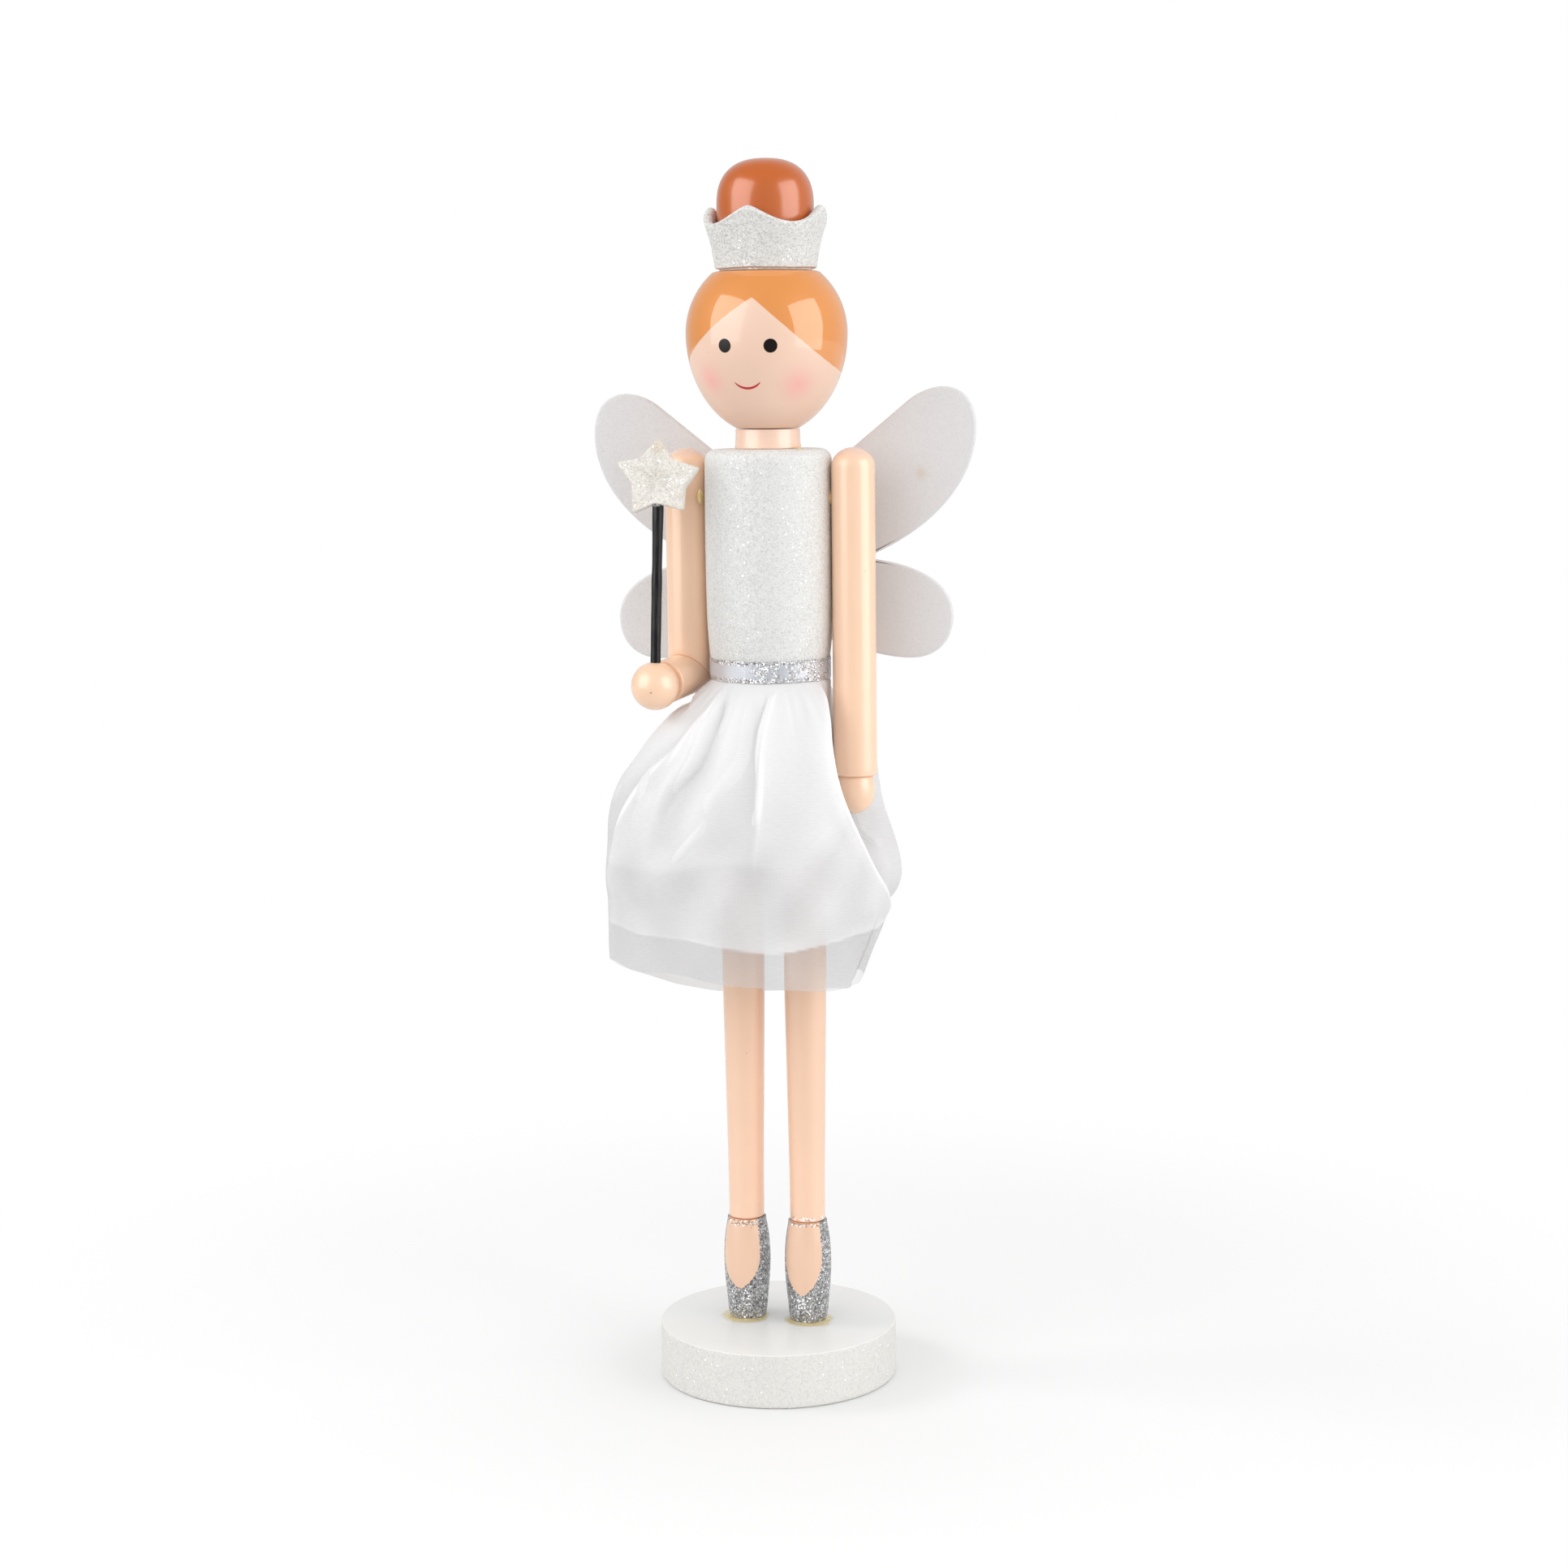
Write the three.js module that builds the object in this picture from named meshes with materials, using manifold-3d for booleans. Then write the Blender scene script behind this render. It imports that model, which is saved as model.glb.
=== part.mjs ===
// Turned and painted wooden fairy on a round base, with sheet wings, a wand and a layered skirt.
// Units are millimetres, +Z is up, the figure faces -Y and its left hand is on +X.
// The origin is the centre of the base's underside.
import * as THREE from "three";
import { mergeVertices } from "three/addons/utils/BufferGeometryUtils.js";
import Module from "manifold-3d";

const wasm = await Module();
wasm.setup();

// Base
const BASE_DIAMETER = 70;
const BASE_HEIGHT = 16;
const BASE_EDGE = 0.8;

// Legs and feet
const LEG_SPACING = 18.6;
const FOOT_HEIGHT = 30.6;
const FOOT_TOE_DIAMETER = 11;
const FOOT_BELLY_DIAMETER = 13.8;
const FOOT_BELLY_HEIGHT = 18;
const FOOT_ANKLE_DIAMETER = 11.8;
const FOOT_EDGE = 0.7;
const LEG_ANKLE_DIAMETER = 10.3;
const LEG_TOP_DIAMETER = 12.6;
const LEG_LENGTH = 146.5;
const LEG_TAPER_LENGTH = 80;
const LEG_DOWEL_DIAMETER = 5;
const LEG_DOWEL_IN_BASE = 11;
const LEG_DOWEL_IN_LEG = 14;
const LEG_TENON_DIAMETER = 7;
const LEG_TENON_LENGTH = 10;

// Torso and neck
const HIP_INSIDE_LEGS = 1.2;
const HIP_LENGTH = 19.4;
const TORSO_LIP = 0.05;
const TORSO_SWELL = 0.4;
const TORSO_HEIGHT = 60;
const TORSO_TOP_EDGE = 3.2;
const BACK_FLAT_DEPTH = 1.8;
const BACK_FLAT_ABOVE_WAIST = 2;
const NECK_DIAMETER = 18.5;
const NECK_HEIGHT = 5.4;
const NECK_TENON_DIAMETER = 10;
const NECK_TENON_LENGTH = 8;

// Head, crown and bun
const HEAD_DIAMETER = 46.1;
const HEAD_CHIN_DEPTH = 26.6;
const HEAD_CROWN_HEIGHT = 17.2;
const HEAD_CHIN_CUT = 2.4;
const HEAD_CROWN_CUT = 5.6;
const CROWN_FOOT_DIAMETER = 28.4;
const CROWN_RIM_DIAMETER = 34.6;
const CROWN_DIP_HEIGHT = 13;
const CROWN_POINT_HEIGHT = 5;
const CROWN_POINTS = 4;
const CROWN_WALL = 2.8;
const CROWN_FLOOR = 4;
const BUN_DIAMETER = 27.6;
const BUN_HEIGHT = 27;
const BUN_ROUNDNESS = 2.5;
const BUN_PEG_DIAMETER = 8;
const BUN_PEG_IN_HEAD = 10;

// Arms and hands
const ARM_DIAMETER = 12.5;
const ARM_DOME = 5.6;
const ARM_ABOVE_TORSO = 0.3;
const ARM_LEFT_LENGTH = 93.6;
const ARM_RIGHT_DROP = 65;
const ARM_RIGHT_SET_BACK = 2;
const FOREARM_LENGTH = 15;
const FOREARM_OUT_DEG = 14;
const FOREARM_DOWN_DEG = 6;
const HAND_LEFT_DIAMETER = 11;
const HAND_LEFT_LENGTH = 11.4;
const HAND_LEFT_WRIST_DIAMETER = 10;
const HAND_LEFT_WIDEST_DROP = 4;
const HAND_RIGHT_DIAMETER = 13.8;
const HAND_RIGHT_WRIST_SHARE = 0.35;
const HAND_TENON_DIAMETER = 5;
const HAND_TENON_LENGTH = 7;
const SHOULDER_PIN_DIAMETER = 4;
const SHOULDER_PIN_BELOW_TOP = 14;
const SHOULDER_PIN_IN_TORSO = 9;
const SHOULDER_PIN_IN_ARM = 7;

// Wand
const WAND_DIAMETER = 3;
const WAND_IN_HAND = 5;
const WAND_ABOVE_HAND = 45;
const WAND_LEAN_DEG = 2;
const STAR_POINTS = 5;
const STAR_OUTER_RADIUS = 11.9;
const STAR_INNER_RADIUS = 7.2;
const STAR_THICKNESS = 3.2;
const STAR_EDGE = 0.4;
const STAR_LEAN_BACK_DEG = 5;

// Wings. Heights are measured from the torso's top, and each PULL is the length of a curve's handle.
const WING_THICKNESS = 1.5;
const WING_VEE_DROP = 17.4;
const WING_STRAIGHT_END = { x: 36.6, z: 12 };
const WING_HALF_SPAN = 57.2;
const WING_TIP_HEIGHT = 4.5;
const WING_TOP_HEIGHT = 18.8;
const WING_TOP_PULL = 12.6;
const WING_TIP_PULL = 13.5;
const WING_NOTCH_HALF_WIDTH = 24;
const WING_NOTCH_DROP = 32.6;
const WING_NOTCH_PULL = { x: 22.5, z: 8.6 };
const WING_LOWER_HALF_SPAN = 50.4;
const WING_LOWER_TOP_PULL = { x: 13, z: 1 };
const WING_LOWER_TIP_DROP = 49.4;
const WING_LOWER_TIP_PULL = { up: 10.8, down: 8 };
const WING_FOOT_INSIDE_TIP = 12.4;
const WING_FOOT_PULL = { out: 7, in: 10 };
const WING_FOOT_BELOW_MIDDLE = 10.3;
const WING_MIDDLE_ABOVE_WAIST = 8.6;
const WING_MIDDLE_PULL = { x: 14, z: 5 };

// Ribbon and skirt
const RIBBON_HEIGHT = 6;
const RIBBON_THICKNESS = 0.6;
const CLOTH_THICKNESS = 0.5;
const LAYER_GAP = 0.35;
const SKIRT_LAYER_LENGTHS = { skirt_outer_layer: 88.5, skirt_middle_layer: 79.4, skirt_lining: 55.2 };
const SKIRT_MEAN_FLARE = 27;
const SKIRT_SIDE_FLARE = 4;
const SKIRT_FRONT_FLARE = 0.5;
const SKIRT_FULL_AT = 0.55;
const SKIRT_SIDE_TUCK = 14.5;
const SKIRT_TUCK_FROM = 0.65;
const SKIRT_TUCK_DEG = { at: 5, inner: 10, outer: 55 };
const PLEATS = 8;
const PLEAT_DEPTH = 5;
const PLEAT_HEM_SHARE = 0.15;
const PLEAT_AT_DEG = 246;
const LAYER_SPREAD = 1.5;
const SKIRT_ROWS = [0, 0.05, 0.11, 0.19, 0.29, 0.42];
const PRESS_REACH = { hand: 14, elbow: 9 };
const PRESS_MARGIN_DEG = 1.5;
const PRESS_FADE_DEG = 14;

// Clearances
const GLUE_GAP = 0.3;
const CLOTH_CLEARANCE = 0.45;

// Widths that follow from the sizes above. The hip lies inside the legs' outer faces, and the torso's
// lower edge covers the hip, the gathered layers and the ribbon.
const LAYER_STEP = CLOTH_THICKNESS + LAYER_GAP;
const LAYER_NAMES = Object.keys(SKIRT_LAYER_LENGTHS);
const LEG_X = LEG_SPACING / 2;
const HIP_RADIUS = LEG_X + LEG_TOP_DIAMETER / 2 - HIP_INSIDE_LEGS;
const GATHER_RADIUS = HIP_RADIUS + GLUE_GAP + LAYER_NAMES.length * LAYER_STEP - LAYER_GAP;
const RIBBON_INNER = GATHER_RADIUS + LAYER_GAP;
const RIBBON_OUTER = RIBBON_INNER + RIBBON_THICKNESS;
const TORSO_WAIST_RADIUS = RIBBON_OUTER + TORSO_LIP;
const TORSO_RADIUS = TORSO_WAIST_RADIUS + TORSO_SWELL;
const ARM_RADIUS = ARM_DIAMETER / 2;
const ARM_X = TORSO_RADIUS + GLUE_GAP + ARM_RADIUS;
const BACK_FLAT_Y = TORSO_RADIUS - BACK_FLAT_DEPTH;

// Heights that follow from the sizes above
const BASE_TOP = BASE_HEIGHT;
const FOOT_BOTTOM = BASE_TOP + GLUE_GAP;
const ANKLE = FOOT_BOTTOM + FOOT_HEIGHT + GLUE_GAP;
const HIP = ANKLE + LEG_LENGTH + GLUE_GAP;
const WAIST = HIP + HIP_LENGTH;
const TORSO_TOP = WAIST + TORSO_HEIGHT;
const NECK_BOTTOM = TORSO_TOP + GLUE_GAP;
const HEAD_BOTTOM = NECK_BOTTOM + NECK_HEIGHT + GLUE_GAP;
const HEAD_TOP = HEAD_BOTTOM + HEAD_CHIN_DEPTH + HEAD_CROWN_HEIGHT;
const CROWN_BOTTOM = HEAD_TOP + GLUE_GAP;
const BUN_BOTTOM = CROWN_BOTTOM + CROWN_FLOOR + GLUE_GAP;
const ARM_TOP = TORSO_TOP + ARM_ABOVE_TORSO;
const SHOULDER_PIN_Z = TORSO_TOP - SHOULDER_PIN_BELOW_TOP;
const RIBBON_TOP = WAIST - GLUE_GAP;
const RIBBON_BOTTOM = RIBBON_TOP - RIBBON_HEIGHT;

const AXIS_Z = new THREE.Vector3(0, 0, 1);
const WIDE = 48;
const ROUND = 32;
const SLIM = 20;
const PIN = 16;
const PAST = 1;

// A turned solid from [radius, height] pairs that run from the bottom up.
function turned(profile, sides = ROUND) {
  const points = profile.map(([radius, height]) => new THREE.Vector2(radius, height));
  return new THREE.LatheGeometry(points, sides).rotateX(Math.PI / 2);
}

// A quarter or half of an ellipse, as [radius, height] pairs from angle a to angle b in degrees.
function ellipseArc(radius, height, a, b, steps, centreHeight = 0) {
  return Array.from({ length: steps + 1 }, (_, i) => {
    const angle = THREE.MathUtils.degToRad(a + ((b - a) * i) / steps);
    return [radius * Math.cos(angle), centreHeight + height * Math.sin(angle)];
  });
}

function solidOf(geometry) {
  const bare = new THREE.BufferGeometry();
  bare.setAttribute("position", geometry.getAttribute("position"));
  bare.setIndex(geometry.index);
  const merged = mergeVertices(bare, 1e-3);
  const vertProperties = new Float32Array(merged.attributes.position.array);
  const triVerts = new Uint32Array(merged.index.array);
  return new wasm.Manifold(new wasm.Mesh({ numProp: 3, vertProperties, triVerts }));
}

function geometryOf(solid) {
  const { vertProperties, triVerts, numProp, numVert } = solid.getMesh();
  const position = new Float32Array(numVert * 3);
  for (let i = 0; i < numVert; i++) {
    position.set(vertProperties.subarray(i * numProp, i * numProp + 3), i * 3);
  }
  const geometry = new THREE.BufferGeometry();
  geometry.setAttribute("position", new THREE.BufferAttribute(position, 3));
  geometry.setIndex(new THREE.BufferAttribute(triVerts, 1));
  geometry.computeVertexNormals();
  return geometry;
}

function cut(geometry, ...tools) {
  const rest = tools.reduce((solid, tool) => solid.subtract(solidOf(tool)), solidOf(geometry));
  return geometryOf(rest);
}

// A round hole tool along +Z, centred on x, y, from one height to another.
function drill(diameter, x, y, from, to, sides = SLIM) {
  const tool = new THREE.CylinderGeometry(diameter / 2, diameter / 2, to - from, sides);
  return tool.rotateX(Math.PI / 2).translate(x, y, (from + to) / 2);
}

const paint = (color, roughness, metalness = 0) =>
  new THREE.MeshStandardMaterial({ color, roughness, metalness });

const finishes = {
  skin: paint(0xf5d3bb, 0.3),
  bareWood: paint(0xd9b98c, 0.8),
  whiteGlitter: paint(0xe6e6e4, 0.7),
  silverGlitter: paint(0xacacac, 0.5, 0.4),
  hair: paint(0xf0a360, 0.25),
  bun: paint(0xca6b3a, 0.25),
  black: paint(0x252324, 0.4),
  wing: paint(0xdedddd, 0.7),
  ribbon: paint(0xd0d0d4, 0.35, 0.6),
  organza: paint(0xf2f1f2, 0.6),
};

const figure = new THREE.Group();

function add(name, geometry, material, parent = figure) {
  const mesh = new THREE.Mesh(geometry, material);
  mesh.name = name;
  parent.add(mesh);
  return mesh;
}

const sides = [
  { name: "left", sign: 1 },
  { name: "right", sign: -1 },
];

// Base: a turned disc with a blind socket for each leg dowel.
function makeBase() {
  const radius = BASE_DIAMETER / 2;
  const disc = turned(
    [
      [0, 0],
      [radius - BASE_EDGE, 0],
      [radius, BASE_EDGE],
      [radius, BASE_TOP - BASE_EDGE],
      [radius - BASE_EDGE, BASE_TOP],
      [0, BASE_TOP],
    ],
    WIDE,
  );
  const floor = BASE_TOP - LEG_DOWEL_IN_BASE - GLUE_GAP;
  const sockets = sides.map(({ sign }) =>
    drill(LEG_DOWEL_DIAMETER + 2 * GLUE_GAP, sign * LEG_X, 0, floor, BASE_TOP + PAST),
  );
  add("base_disc", cut(disc, ...sockets), finishes.whiteGlitter);
}

// Foot: a barrel on point, bored through for the leg dowel.
function makeFoot() {
  const bore = LEG_DOWEL_DIAMETER / 2 + GLUE_GAP;
  const toe = FOOT_TOE_DIAMETER / 2;
  const ankle = FOOT_ANKLE_DIAMETER / 2;
  const barrel = new THREE.SplineCurve([
    new THREE.Vector2(toe, FOOT_EDGE),
    new THREE.Vector2(FOOT_BELLY_DIAMETER / 2, FOOT_BELLY_HEIGHT),
    new THREE.Vector2(ankle, FOOT_HEIGHT - FOOT_EDGE),
  ]);
  const outside = barrel.getPoints(6).map((point) => [point.x, point.y]);
  return turned(
    [
      [bore, 0],
      [toe - FOOT_EDGE, 0],
      ...outside,
      [ankle - FOOT_EDGE, FOOT_HEIGHT],
      [bore, FOOT_HEIGHT],
      [bore, 0],
    ],
    SLIM,
  );
}

// Leg: a tapered spindle with a blind bore at the ankle and a tenon at the hip.
function makeLeg() {
  const bore = LEG_DOWEL_DIAMETER / 2 + GLUE_GAP;
  const boreEnd = LEG_DOWEL_IN_LEG + GLUE_GAP;
  const tenon = LEG_TENON_DIAMETER / 2;
  return turned(
    [
      [0, boreEnd],
      [bore, boreEnd],
      [bore, 0],
      [LEG_ANKLE_DIAMETER / 2, 0],
      [LEG_TOP_DIAMETER / 2, LEG_TAPER_LENGTH],
      [LEG_TOP_DIAMETER / 2, LEG_LENGTH],
      [tenon, LEG_LENGTH],
      [tenon, LEG_LENGTH + LEG_TENON_LENGTH],
      [0, LEG_LENGTH + LEG_TENON_LENGTH],
    ],
    SLIM,
  );
}

function makeLegs() {
  const dowelBottom = BASE_TOP - LEG_DOWEL_IN_BASE;
  const dowelTop = ANKLE + LEG_DOWEL_IN_LEG;
  for (const { name, sign } of sides) {
    const stand = new THREE.Group();
    stand.position.x = sign * LEG_X;
    figure.add(stand);
    const dowel = drill(LEG_DOWEL_DIAMETER, 0, 0, dowelBottom, dowelTop);
    add(`leg_dowel_${name}`, dowel, finishes.bareWood, stand);
    add(`foot_${name}`, makeFoot(), finishes.silverGlitter, stand).position.z = FOOT_BOTTOM;
    add(`leg_${name}`, makeLeg(), finishes.skin, stand).position.z = ANKLE;
  }
}

// Torso: a turned cylinder on a narrower hip, with a flat on its back for the wings.
function makeTorso() {
  const socket = NECK_TENON_DIAMETER / 2 + GLUE_GAP;
  const socketFloor = TORSO_TOP - NECK_TENON_LENGTH - GLUE_GAP;
  const shoulder = TORSO_TOP - TORSO_TOP_EDGE;
  const roundedTop = ellipseArc(TORSO_TOP_EDGE, TORSO_TOP_EDGE, 0, 90, 4, shoulder).map(
    ([r, z]) => [TORSO_RADIUS - TORSO_TOP_EDGE + r, z],
  );
  const body = turned([
    [0, HIP],
    [HIP_RADIUS, HIP],
    [HIP_RADIUS, WAIST],
    [TORSO_WAIST_RADIUS, WAIST],
    [TORSO_RADIUS, WAIST + TORSO_HEIGHT / 2],
    ...roundedTop,
    [socket, TORSO_TOP],
    [socket, socketFloor],
    [0, socketFloor],
  ]);
  const legSockets = sides.map(({ sign }) => {
    const roof = HIP + LEG_TENON_LENGTH + GLUE_GAP;
    return drill(LEG_TENON_DIAMETER + 2 * GLUE_GAP, sign * LEG_X, 0, HIP - PAST, roof);
  });
  const pinSockets = sides.map(({ sign }) => shoulderPin(sign, GLUE_GAP));
  const flatBottom = WAIST + BACK_FLAT_ABOVE_WAIST;
  const flatTop = TORSO_TOP + PAST;
  const flat = new THREE.BoxGeometry(2 * TORSO_RADIUS, TORSO_RADIUS, flatTop - flatBottom).translate(
    0,
    BACK_FLAT_Y + TORSO_RADIUS / 2,
    (flatTop + flatBottom) / 2,
  );
  add("torso", cut(body, ...legSockets, ...pinSockets, flat), finishes.whiteGlitter);
}

// Neck: a short collar with a tenon at each end.
function makeNeck() {
  const tenon = NECK_TENON_DIAMETER / 2;
  const collar = NECK_DIAMETER / 2;
  const neck = turned(
    [
      [0, -NECK_TENON_LENGTH],
      [tenon, -NECK_TENON_LENGTH],
      [tenon, 0],
      [collar, 0],
      [collar, NECK_HEIGHT],
      [tenon, NECK_HEIGHT],
      [tenon, NECK_HEIGHT + NECK_TENON_LENGTH],
      [0, NECK_HEIGHT + NECK_TENON_LENGTH],
    ],
    SLIM,
  );
  add("neck", neck, finishes.skin).position.z = NECK_BOTTOM;
}

// Head: two half ellipsoids cut flat at chin and crown, bored for the neck and for the bun's peg.
function makeHead() {
  const radius = HEAD_DIAMETER / 2;
  const lowerAxis = HEAD_CHIN_DEPTH + HEAD_CHIN_CUT;
  const upperAxis = HEAD_CROWN_HEIGHT + HEAD_CROWN_CUT;
  const chin = -THREE.MathUtils.radToDeg(Math.asin(HEAD_CHIN_DEPTH / lowerAxis));
  const top = THREE.MathUtils.radToDeg(Math.asin(HEAD_CROWN_HEIGHT / upperAxis));
  const neckBore = NECK_TENON_DIAMETER / 2 + GLUE_GAP;
  const pegBore = BUN_PEG_DIAMETER / 2 + GLUE_GAP;
  const neckRoof = -HEAD_CHIN_DEPTH + NECK_TENON_LENGTH + GLUE_GAP;
  const pegFloor = HEAD_CROWN_HEIGHT - BUN_PEG_IN_HEAD - 2 * GLUE_GAP;
  const head = turned([
    [0, neckRoof],
    [neckBore, neckRoof],
    [neckBore, -HEAD_CHIN_DEPTH],
    ...ellipseArc(radius, lowerAxis, chin, 0, 8).slice(0, -1),
    ...ellipseArc(radius, upperAxis, 0, top, 6),
    [pegBore, HEAD_CROWN_HEIGHT],
    [pegBore, pegFloor],
    [0, pegFloor],
  ]);
  add("head", head, finishes.hair).position.z = HEAD_BOTTOM + HEAD_CHIN_DEPTH;
}

// Crown: a flared cup whose rim rises in rounded points, with a hole in its floor for the bun's peg.
function makeCrown() {
  const foot = CROWN_FOOT_DIAMETER / 2;
  const rim = CROWN_RIM_DIAMETER / 2;
  const hole = BUN_PEG_DIAMETER / 2 + GLUE_GAP;
  const wallMiddle = (foot + rim) / 2;
  const cup = turned(
    [
      [hole, 0],
      [foot, 0],
      [wallMiddle, CROWN_DIP_HEIGHT / 2],
      [rim, CROWN_DIP_HEIGHT],
      [rim - CROWN_WALL, CROWN_DIP_HEIGHT],
      [foot - CROWN_WALL, CROWN_FLOOR],
      [hole, CROWN_FLOOR],
      [hole, 0],
    ],
    10 * CROWN_POINTS,
  );
  const place = cup.getAttribute("position");
  for (let i = 0; i < place.count; i++) {
    if (place.getZ(i) > CROWN_DIP_HEIGHT - 1e-3) {
      const angle = Math.atan2(place.getY(i), place.getX(i));
      const point = 1 - Math.abs(Math.sin((angle * CROWN_POINTS) / 2));
      place.setZ(i, CROWN_DIP_HEIGHT + CROWN_POINT_HEIGHT * point);
    }
  }
  add("crown", cup, finishes.whiteGlitter).position.z = CROWN_BOTTOM;
}

// Bun: a flattened ball, as a superellipse of revolution, on a peg that pins crown and head.
function makeBun() {
  const half = BUN_HEIGHT / 2;
  const peg = BUN_PEG_DIAMETER / 2;
  const pegBottom = -half - CROWN_FLOOR - 2 * GLUE_GAP - BUN_PEG_IN_HEAD;
  const power = 2 / BUN_ROUNDNESS;
  const ball = ellipseArc(1, 1, -90, 90, 12)
    .map(([r, z]) => [
      (BUN_DIAMETER / 2) * Math.abs(r) ** power,
      half * Math.sign(z) * Math.abs(z) ** power,
    ])
    .filter(([r, z]) => z > 0 || r > peg);
  ball[ball.length - 1][0] = 0;
  const bun = turned(
    [[0, pegBottom], [peg, pegBottom], [peg, ball[0][1]], ...ball],
    SLIM,
  );
  add("hair_bun", bun, finishes.bun).position.z = BUN_BOTTOM + half;
}

// The pin that joins an arm to the torso, or its socket when it is made larger by a clearance.
function shoulderPin(sign, clearance = 0) {
  const setBack = sign < 0 ? ARM_RIGHT_SET_BACK : 0;
  const inner = TORSO_RADIUS - SHOULDER_PIN_IN_TORSO - clearance;
  const outer = ARM_X - ARM_RADIUS + SHOULDER_PIN_IN_ARM + clearance;
  const pin = drill(SHOULDER_PIN_DIAMETER + 2 * clearance, 0, 0, inner, outer, PIN);
  return pin.rotateY((sign * Math.PI) / 2).translate(0, setBack, SHOULDER_PIN_Z);
}

// A domed dowel that hangs down from its top, which is at height 0, with an optional bore at its end.
function armDowel(length, boreDepth) {
  const bore = HAND_TENON_DIAMETER / 2 + GLUE_GAP;
  const end = boreDepth
    ? [
        [0, boreDepth - length],
        [bore, boreDepth - length],
        [bore, -length],
      ]
    : [[0, -length]];
  return turned(
    [...end, [ARM_RADIUS, -length], ...ellipseArc(ARM_RADIUS, ARM_DOME, 0, 90, 6, -ARM_DOME)],
    SLIM,
  );
}

// Left arm: a straight dowel that hangs at the side, with an egg-shaped hand on a tenon.
function makeLeftArm() {
  const arm = armDowel(ARM_LEFT_LENGTH, HAND_TENON_LENGTH + GLUE_GAP).translate(ARM_X, 0, ARM_TOP);
  add("arm_left", cut(arm, shoulderPin(1, GLUE_GAP)), finishes.skin);
  const tenon = HAND_TENON_DIAMETER / 2;
  const widest = HAND_LEFT_DIAMETER / 2;
  const tip = HAND_LEFT_LENGTH - HAND_LEFT_WIDEST_DROP;
  const hand = turned(
    [
      ...ellipseArc(widest, tip, -90, 0, 6, -HAND_LEFT_WIDEST_DROP),
      [HAND_LEFT_WRIST_DIAMETER / 2, 0],
      [tenon, 0],
      [tenon, HAND_TENON_LENGTH],
      [0, HAND_TENON_LENGTH],
    ],
    SLIM,
  );
  const place = add("hand_left", hand, finishes.skin);
  place.position.set(ARM_X, 0, ARM_TOP - ARM_LEFT_LENGTH - GLUE_GAP);
}

// Right arm: an upper arm and a forearm mitred together at the elbow.
const ELBOW = new THREE.Vector3(-ARM_X, ARM_RIGHT_SET_BACK, ARM_TOP - ARM_RIGHT_DROP);
const FOREARM_AXIS = new THREE.Vector3(0, -1, 0)
  .applyAxisAngle(new THREE.Vector3(1, 0, 0), THREE.MathUtils.degToRad(FOREARM_DOWN_DEG))
  .applyAxisAngle(AXIS_Z, -THREE.MathUtils.degToRad(FOREARM_OUT_DEG));
const HAND_RIGHT_CENTRE = ELBOW.clone().addScaledVector(
  FOREARM_AXIS,
  FOREARM_LENGTH + GLUE_GAP + HAND_RIGHT_DIAMETER * HAND_RIGHT_WRIST_SHARE,
);

// A block that takes away everything past the elbow's mitre plane on one side of it.
function mitreBlock(side) {
  const normal = FOREARM_AXIS.clone().sub(AXIS_Z).normalize().multiplyScalar(side);
  const size = 8 * ARM_DIAMETER;
  const block = new THREE.BoxGeometry(size, size, size).translate(0, 0, size / 2 - GLUE_GAP / 2);
  block.applyQuaternion(new THREE.Quaternion().setFromUnitVectors(AXIS_Z, normal));
  return block.translate(...ELBOW.toArray());
}

function makeRightArm() {
  const upper = armDowel(ARM_RIGHT_DROP + ARM_DIAMETER, 0).translate(ELBOW.x, ELBOW.y, ARM_TOP);
  add("upper_arm_right", cut(upper, shoulderPin(-1, GLUE_GAP), mitreBlock(1)), finishes.skin);

  const along = new THREE.Quaternion().setFromUnitVectors(AXIS_Z, FOREARM_AXIS);
  const bore = HAND_TENON_DIAMETER / 2 + GLUE_GAP;
  const boreFloor = FOREARM_LENGTH - HAND_TENON_LENGTH - GLUE_GAP;
  const forearm = turned(
    [
      [0, -ARM_DIAMETER],
      [ARM_RADIUS, -ARM_DIAMETER],
      [ARM_RADIUS, FOREARM_LENGTH],
      [bore, FOREARM_LENGTH],
      [bore, boreFloor],
      [0, boreFloor],
    ],
    SLIM,
  );
  forearm.applyQuaternion(along).translate(...ELBOW.toArray());
  add("forearm_right", cut(forearm, mitreBlock(-1)), finishes.skin);

  const ball = HAND_RIGHT_DIAMETER / 2;
  const wrist = -HAND_RIGHT_DIAMETER * HAND_RIGHT_WRIST_SHARE;
  const tenon = HAND_TENON_DIAMETER / 2;
  const wristAngle = THREE.MathUtils.radToDeg(Math.asin(wrist / ball));
  const hand = turned(
    [
      [0, wrist - HAND_TENON_LENGTH],
      [tenon, wrist - HAND_TENON_LENGTH],
      [tenon, wrist],
      ...ellipseArc(ball, ball, wristAngle, 90, 8),
    ],
    SLIM,
  );
  hand.applyQuaternion(along).translate(...HAND_RIGHT_CENTRE.toArray());
  const grip = wandStick(GLUE_GAP);
  add("hand_right", cut(hand, grip), finishes.skin);
}

function makeShoulderPins() {
  for (const { name, sign } of sides) {
    add(`shoulder_pin_${name}`, shoulderPin(sign), finishes.bareWood);
  }
}

// Turns a piece that stands on the right hand's centre to the wand's lean and puts it there.
function onWand(geometry) {
  geometry.rotateY(THREE.MathUtils.degToRad(WAND_LEAN_DEG));
  return geometry.translate(...HAND_RIGHT_CENTRE.toArray());
}

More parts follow.
